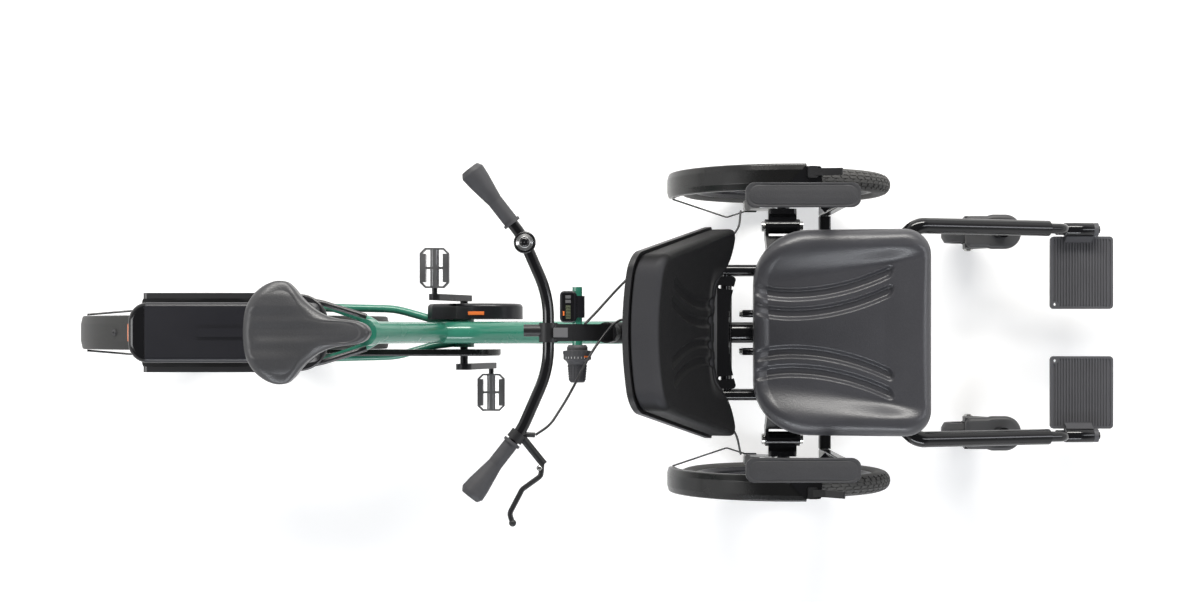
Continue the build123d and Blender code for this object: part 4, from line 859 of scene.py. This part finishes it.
# The chair's bright screws, on the flange, the seat-depth rods and the lever's pivot, and the rods themselves
chairScrews = {"flange": (0.096, -0.116, -0.0044), "flangeRadius": 0.0036, "rod": (0.2995, 0.043, 0.425),
               "rodRadius": 0.0072, "lever": (-0.1385, -0.2585, 1.0625), "leverRadius": 0.0042}
depthRods = {"rear": 0.3000, "front": 0.4755, "y": 0.043, "z": 0.425, "radius": 0.0085}
screws = bmesh.new()
for side in (1, -1):
    across, up, out = chairScrews["flange"]
    screwHead(screws, onBack(side * across, up, out), backOut, chairScrews["flangeRadius"], 20)
    x, y, z = chairScrews["rod"]
    screwHead(screws, (x, side * y, z), (-1, 0, 0), chairScrews["rodRadius"], 6, 0.007)
screwHead(screws, chairScrews["lever"], (0, 0, 1), chairScrews["leverRadius"], 20)
newPiece("chairScrews", screws, "root", "bolt_steel", False)
rods = bmesh.new()
for side in (1, -1):
    y = side * depthRods["y"]
    rodMesh(rods, (depthRods["rear"], y, depthRods["z"]), (depthRods["front"], y, depthRods["z"]),
            depthRods["radius"])
newPiece("depthRods", rods, "root", "frame_black")

# Footplate hinges: glossy sleeves round the hinge tubes
sleeve = {"profile": ((0.0158, 1.0945), (0.0163, 1.0945), (0.0166, 1.0949), (0.0166, 1.1601),
                      (0.0163, 1.1605), (0.0158, 1.1605))}
for word in ("left", "right"):
    axle = pivots["footplate_" + word + "_flip"]
    tube = turned(sleeve["profile"], (0, axle.y, axle.z), (1, 0, 0), 72)
    newPiece("hingeSleeve" + word.capitalize(), tube, "footplate_" + word, "frame_black")

# Castor axle nuts and tyre valves
castorNut = {"out": 0.0380, "radius": 0.0090, "height": 0.0055}
valve = {"angle": 0.31, "root": 0.0081, "neck": 0.0401, "tip": 0.0481, "radius": 0.0026, "cap": 0.0034}
for word in ("left", "right"):
    axle = pivots["castor_wheel_" + word + "_spin"]
    nuts = bmesh.new()
    for face in (1, -1):
        place = (axle.x, axle.y + face * castorNut["out"], axle.z)
        screwHead(nuts, place, (0, face, 0), castorNut["radius"], 6, castorNut["height"])
    newPiece("castorNuts" + word.capitalize(), nuts, "castor_" + word, "bolt_steel", False)
outward = Vector((cos(valve["angle"]), 0, sin(valve["angle"])))
for tyre, values in tyres.items():
    low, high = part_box(tyre)
    hub = (low + high) / 2
    root, neck, tip = (hub + outward * (values["bead"] - valve[level]) for level in ("root", "neck", "tip"))
    stalk = bmesh.new()
    rodMesh(stalk, root, neck, valve["radius"], 12)
    rodMesh(stalk, neck, tip, valve["cap"], 12)
    newPiece(values["body"].replace("_", "") + "Valve", stalk, values["body"], "bolt_steel")
print("small trim made")


# Floor: paper that glows to the camera, more so far from the object, and keeps the shadow
paper = {"size": 14, "glow": 0.3, "farGlow": 0.95, "near": 1.6, "far": 6.5}
floorMesh = bmesh.new()
bmesh.ops.create_grid(floorMesh, x_segments=1, y_segments=1, size=paper["size"])
floorData = bpy.data.meshes.new("floor")
floorMesh.to_mesh(floorData)
floor = bpy.data.objects.new("floor", floorData)
bpy.context.scene.collection.objects.link(floor)
ground = Bench("floorPaper", Roughness=0.9, Specular_IOR_Level=0.1, Emission_Color=(1, 1, 1, 1))
seen = ground.node("LightPath", {}, {}, "Is Camera Ray")
east, north = ground.axes(ground.place())[:2]
away = ground.node("MapRange", {}, {"Value": (east * east + north * north).root(), "From Min": paper["near"],
                                    "From Max": paper["far"], "To Min": paper["glow"],
                                    "To Max": paper["farGlow"]})
ground.set(Base_Color=ground.blend(ground.noise(3, 2), (0.86, 0.86, 0.86), (0.9, 0.9, 0.9)),
           Emission_Strength=away * seen)
dress(floor, ground.material)

# World: white to the camera, in reflections white at the horizon and dim overhead, and elsewhere a grey fill
room = {"seen": 1.0, "overhead": 0.10, "fill": 0.36, "low": 0.25, "high": 0.75}
world = bpy.data.worlds.new("studio")
world.use_nodes = True
sky = SkyBench(world)
rise = sky.node("SeparateXYZ", {}, {0: sky.node("TexCoord", {}, {}, "Generated")}, "Z")
mirrored = sky.node("MapRange", {"interpolation_type": "SMOOTHSTEP"},
                    {"Value": rise, "From Min": room["low"], "From Max": room["high"],
                     "To Min": room["seen"], "To Max": room["overhead"]})
rays = {name: sky.node("LightPath", {}, {}, "Is " + name + " Ray")
        for name in ("Camera", "Glossy", "Transmission")}
shiny = rays["Glossy"].sum("MAXIMUM", rays["Glossy"], rays["Transmission"])
direct = rays["Camera"] * room["seen"]
strength = direct + (1 - rays["Camera"]) * (shiny * mirrored + (1 - shiny) * room["fill"])
backdrop = world.node_tree.nodes["Background"]
backdrop.inputs["Color"].default_value = (1, 1, 1, 1)
sky.feed(backdrop.inputs["Strength"], strength)
bpy.context.scene.world = world
print("floor and world made")
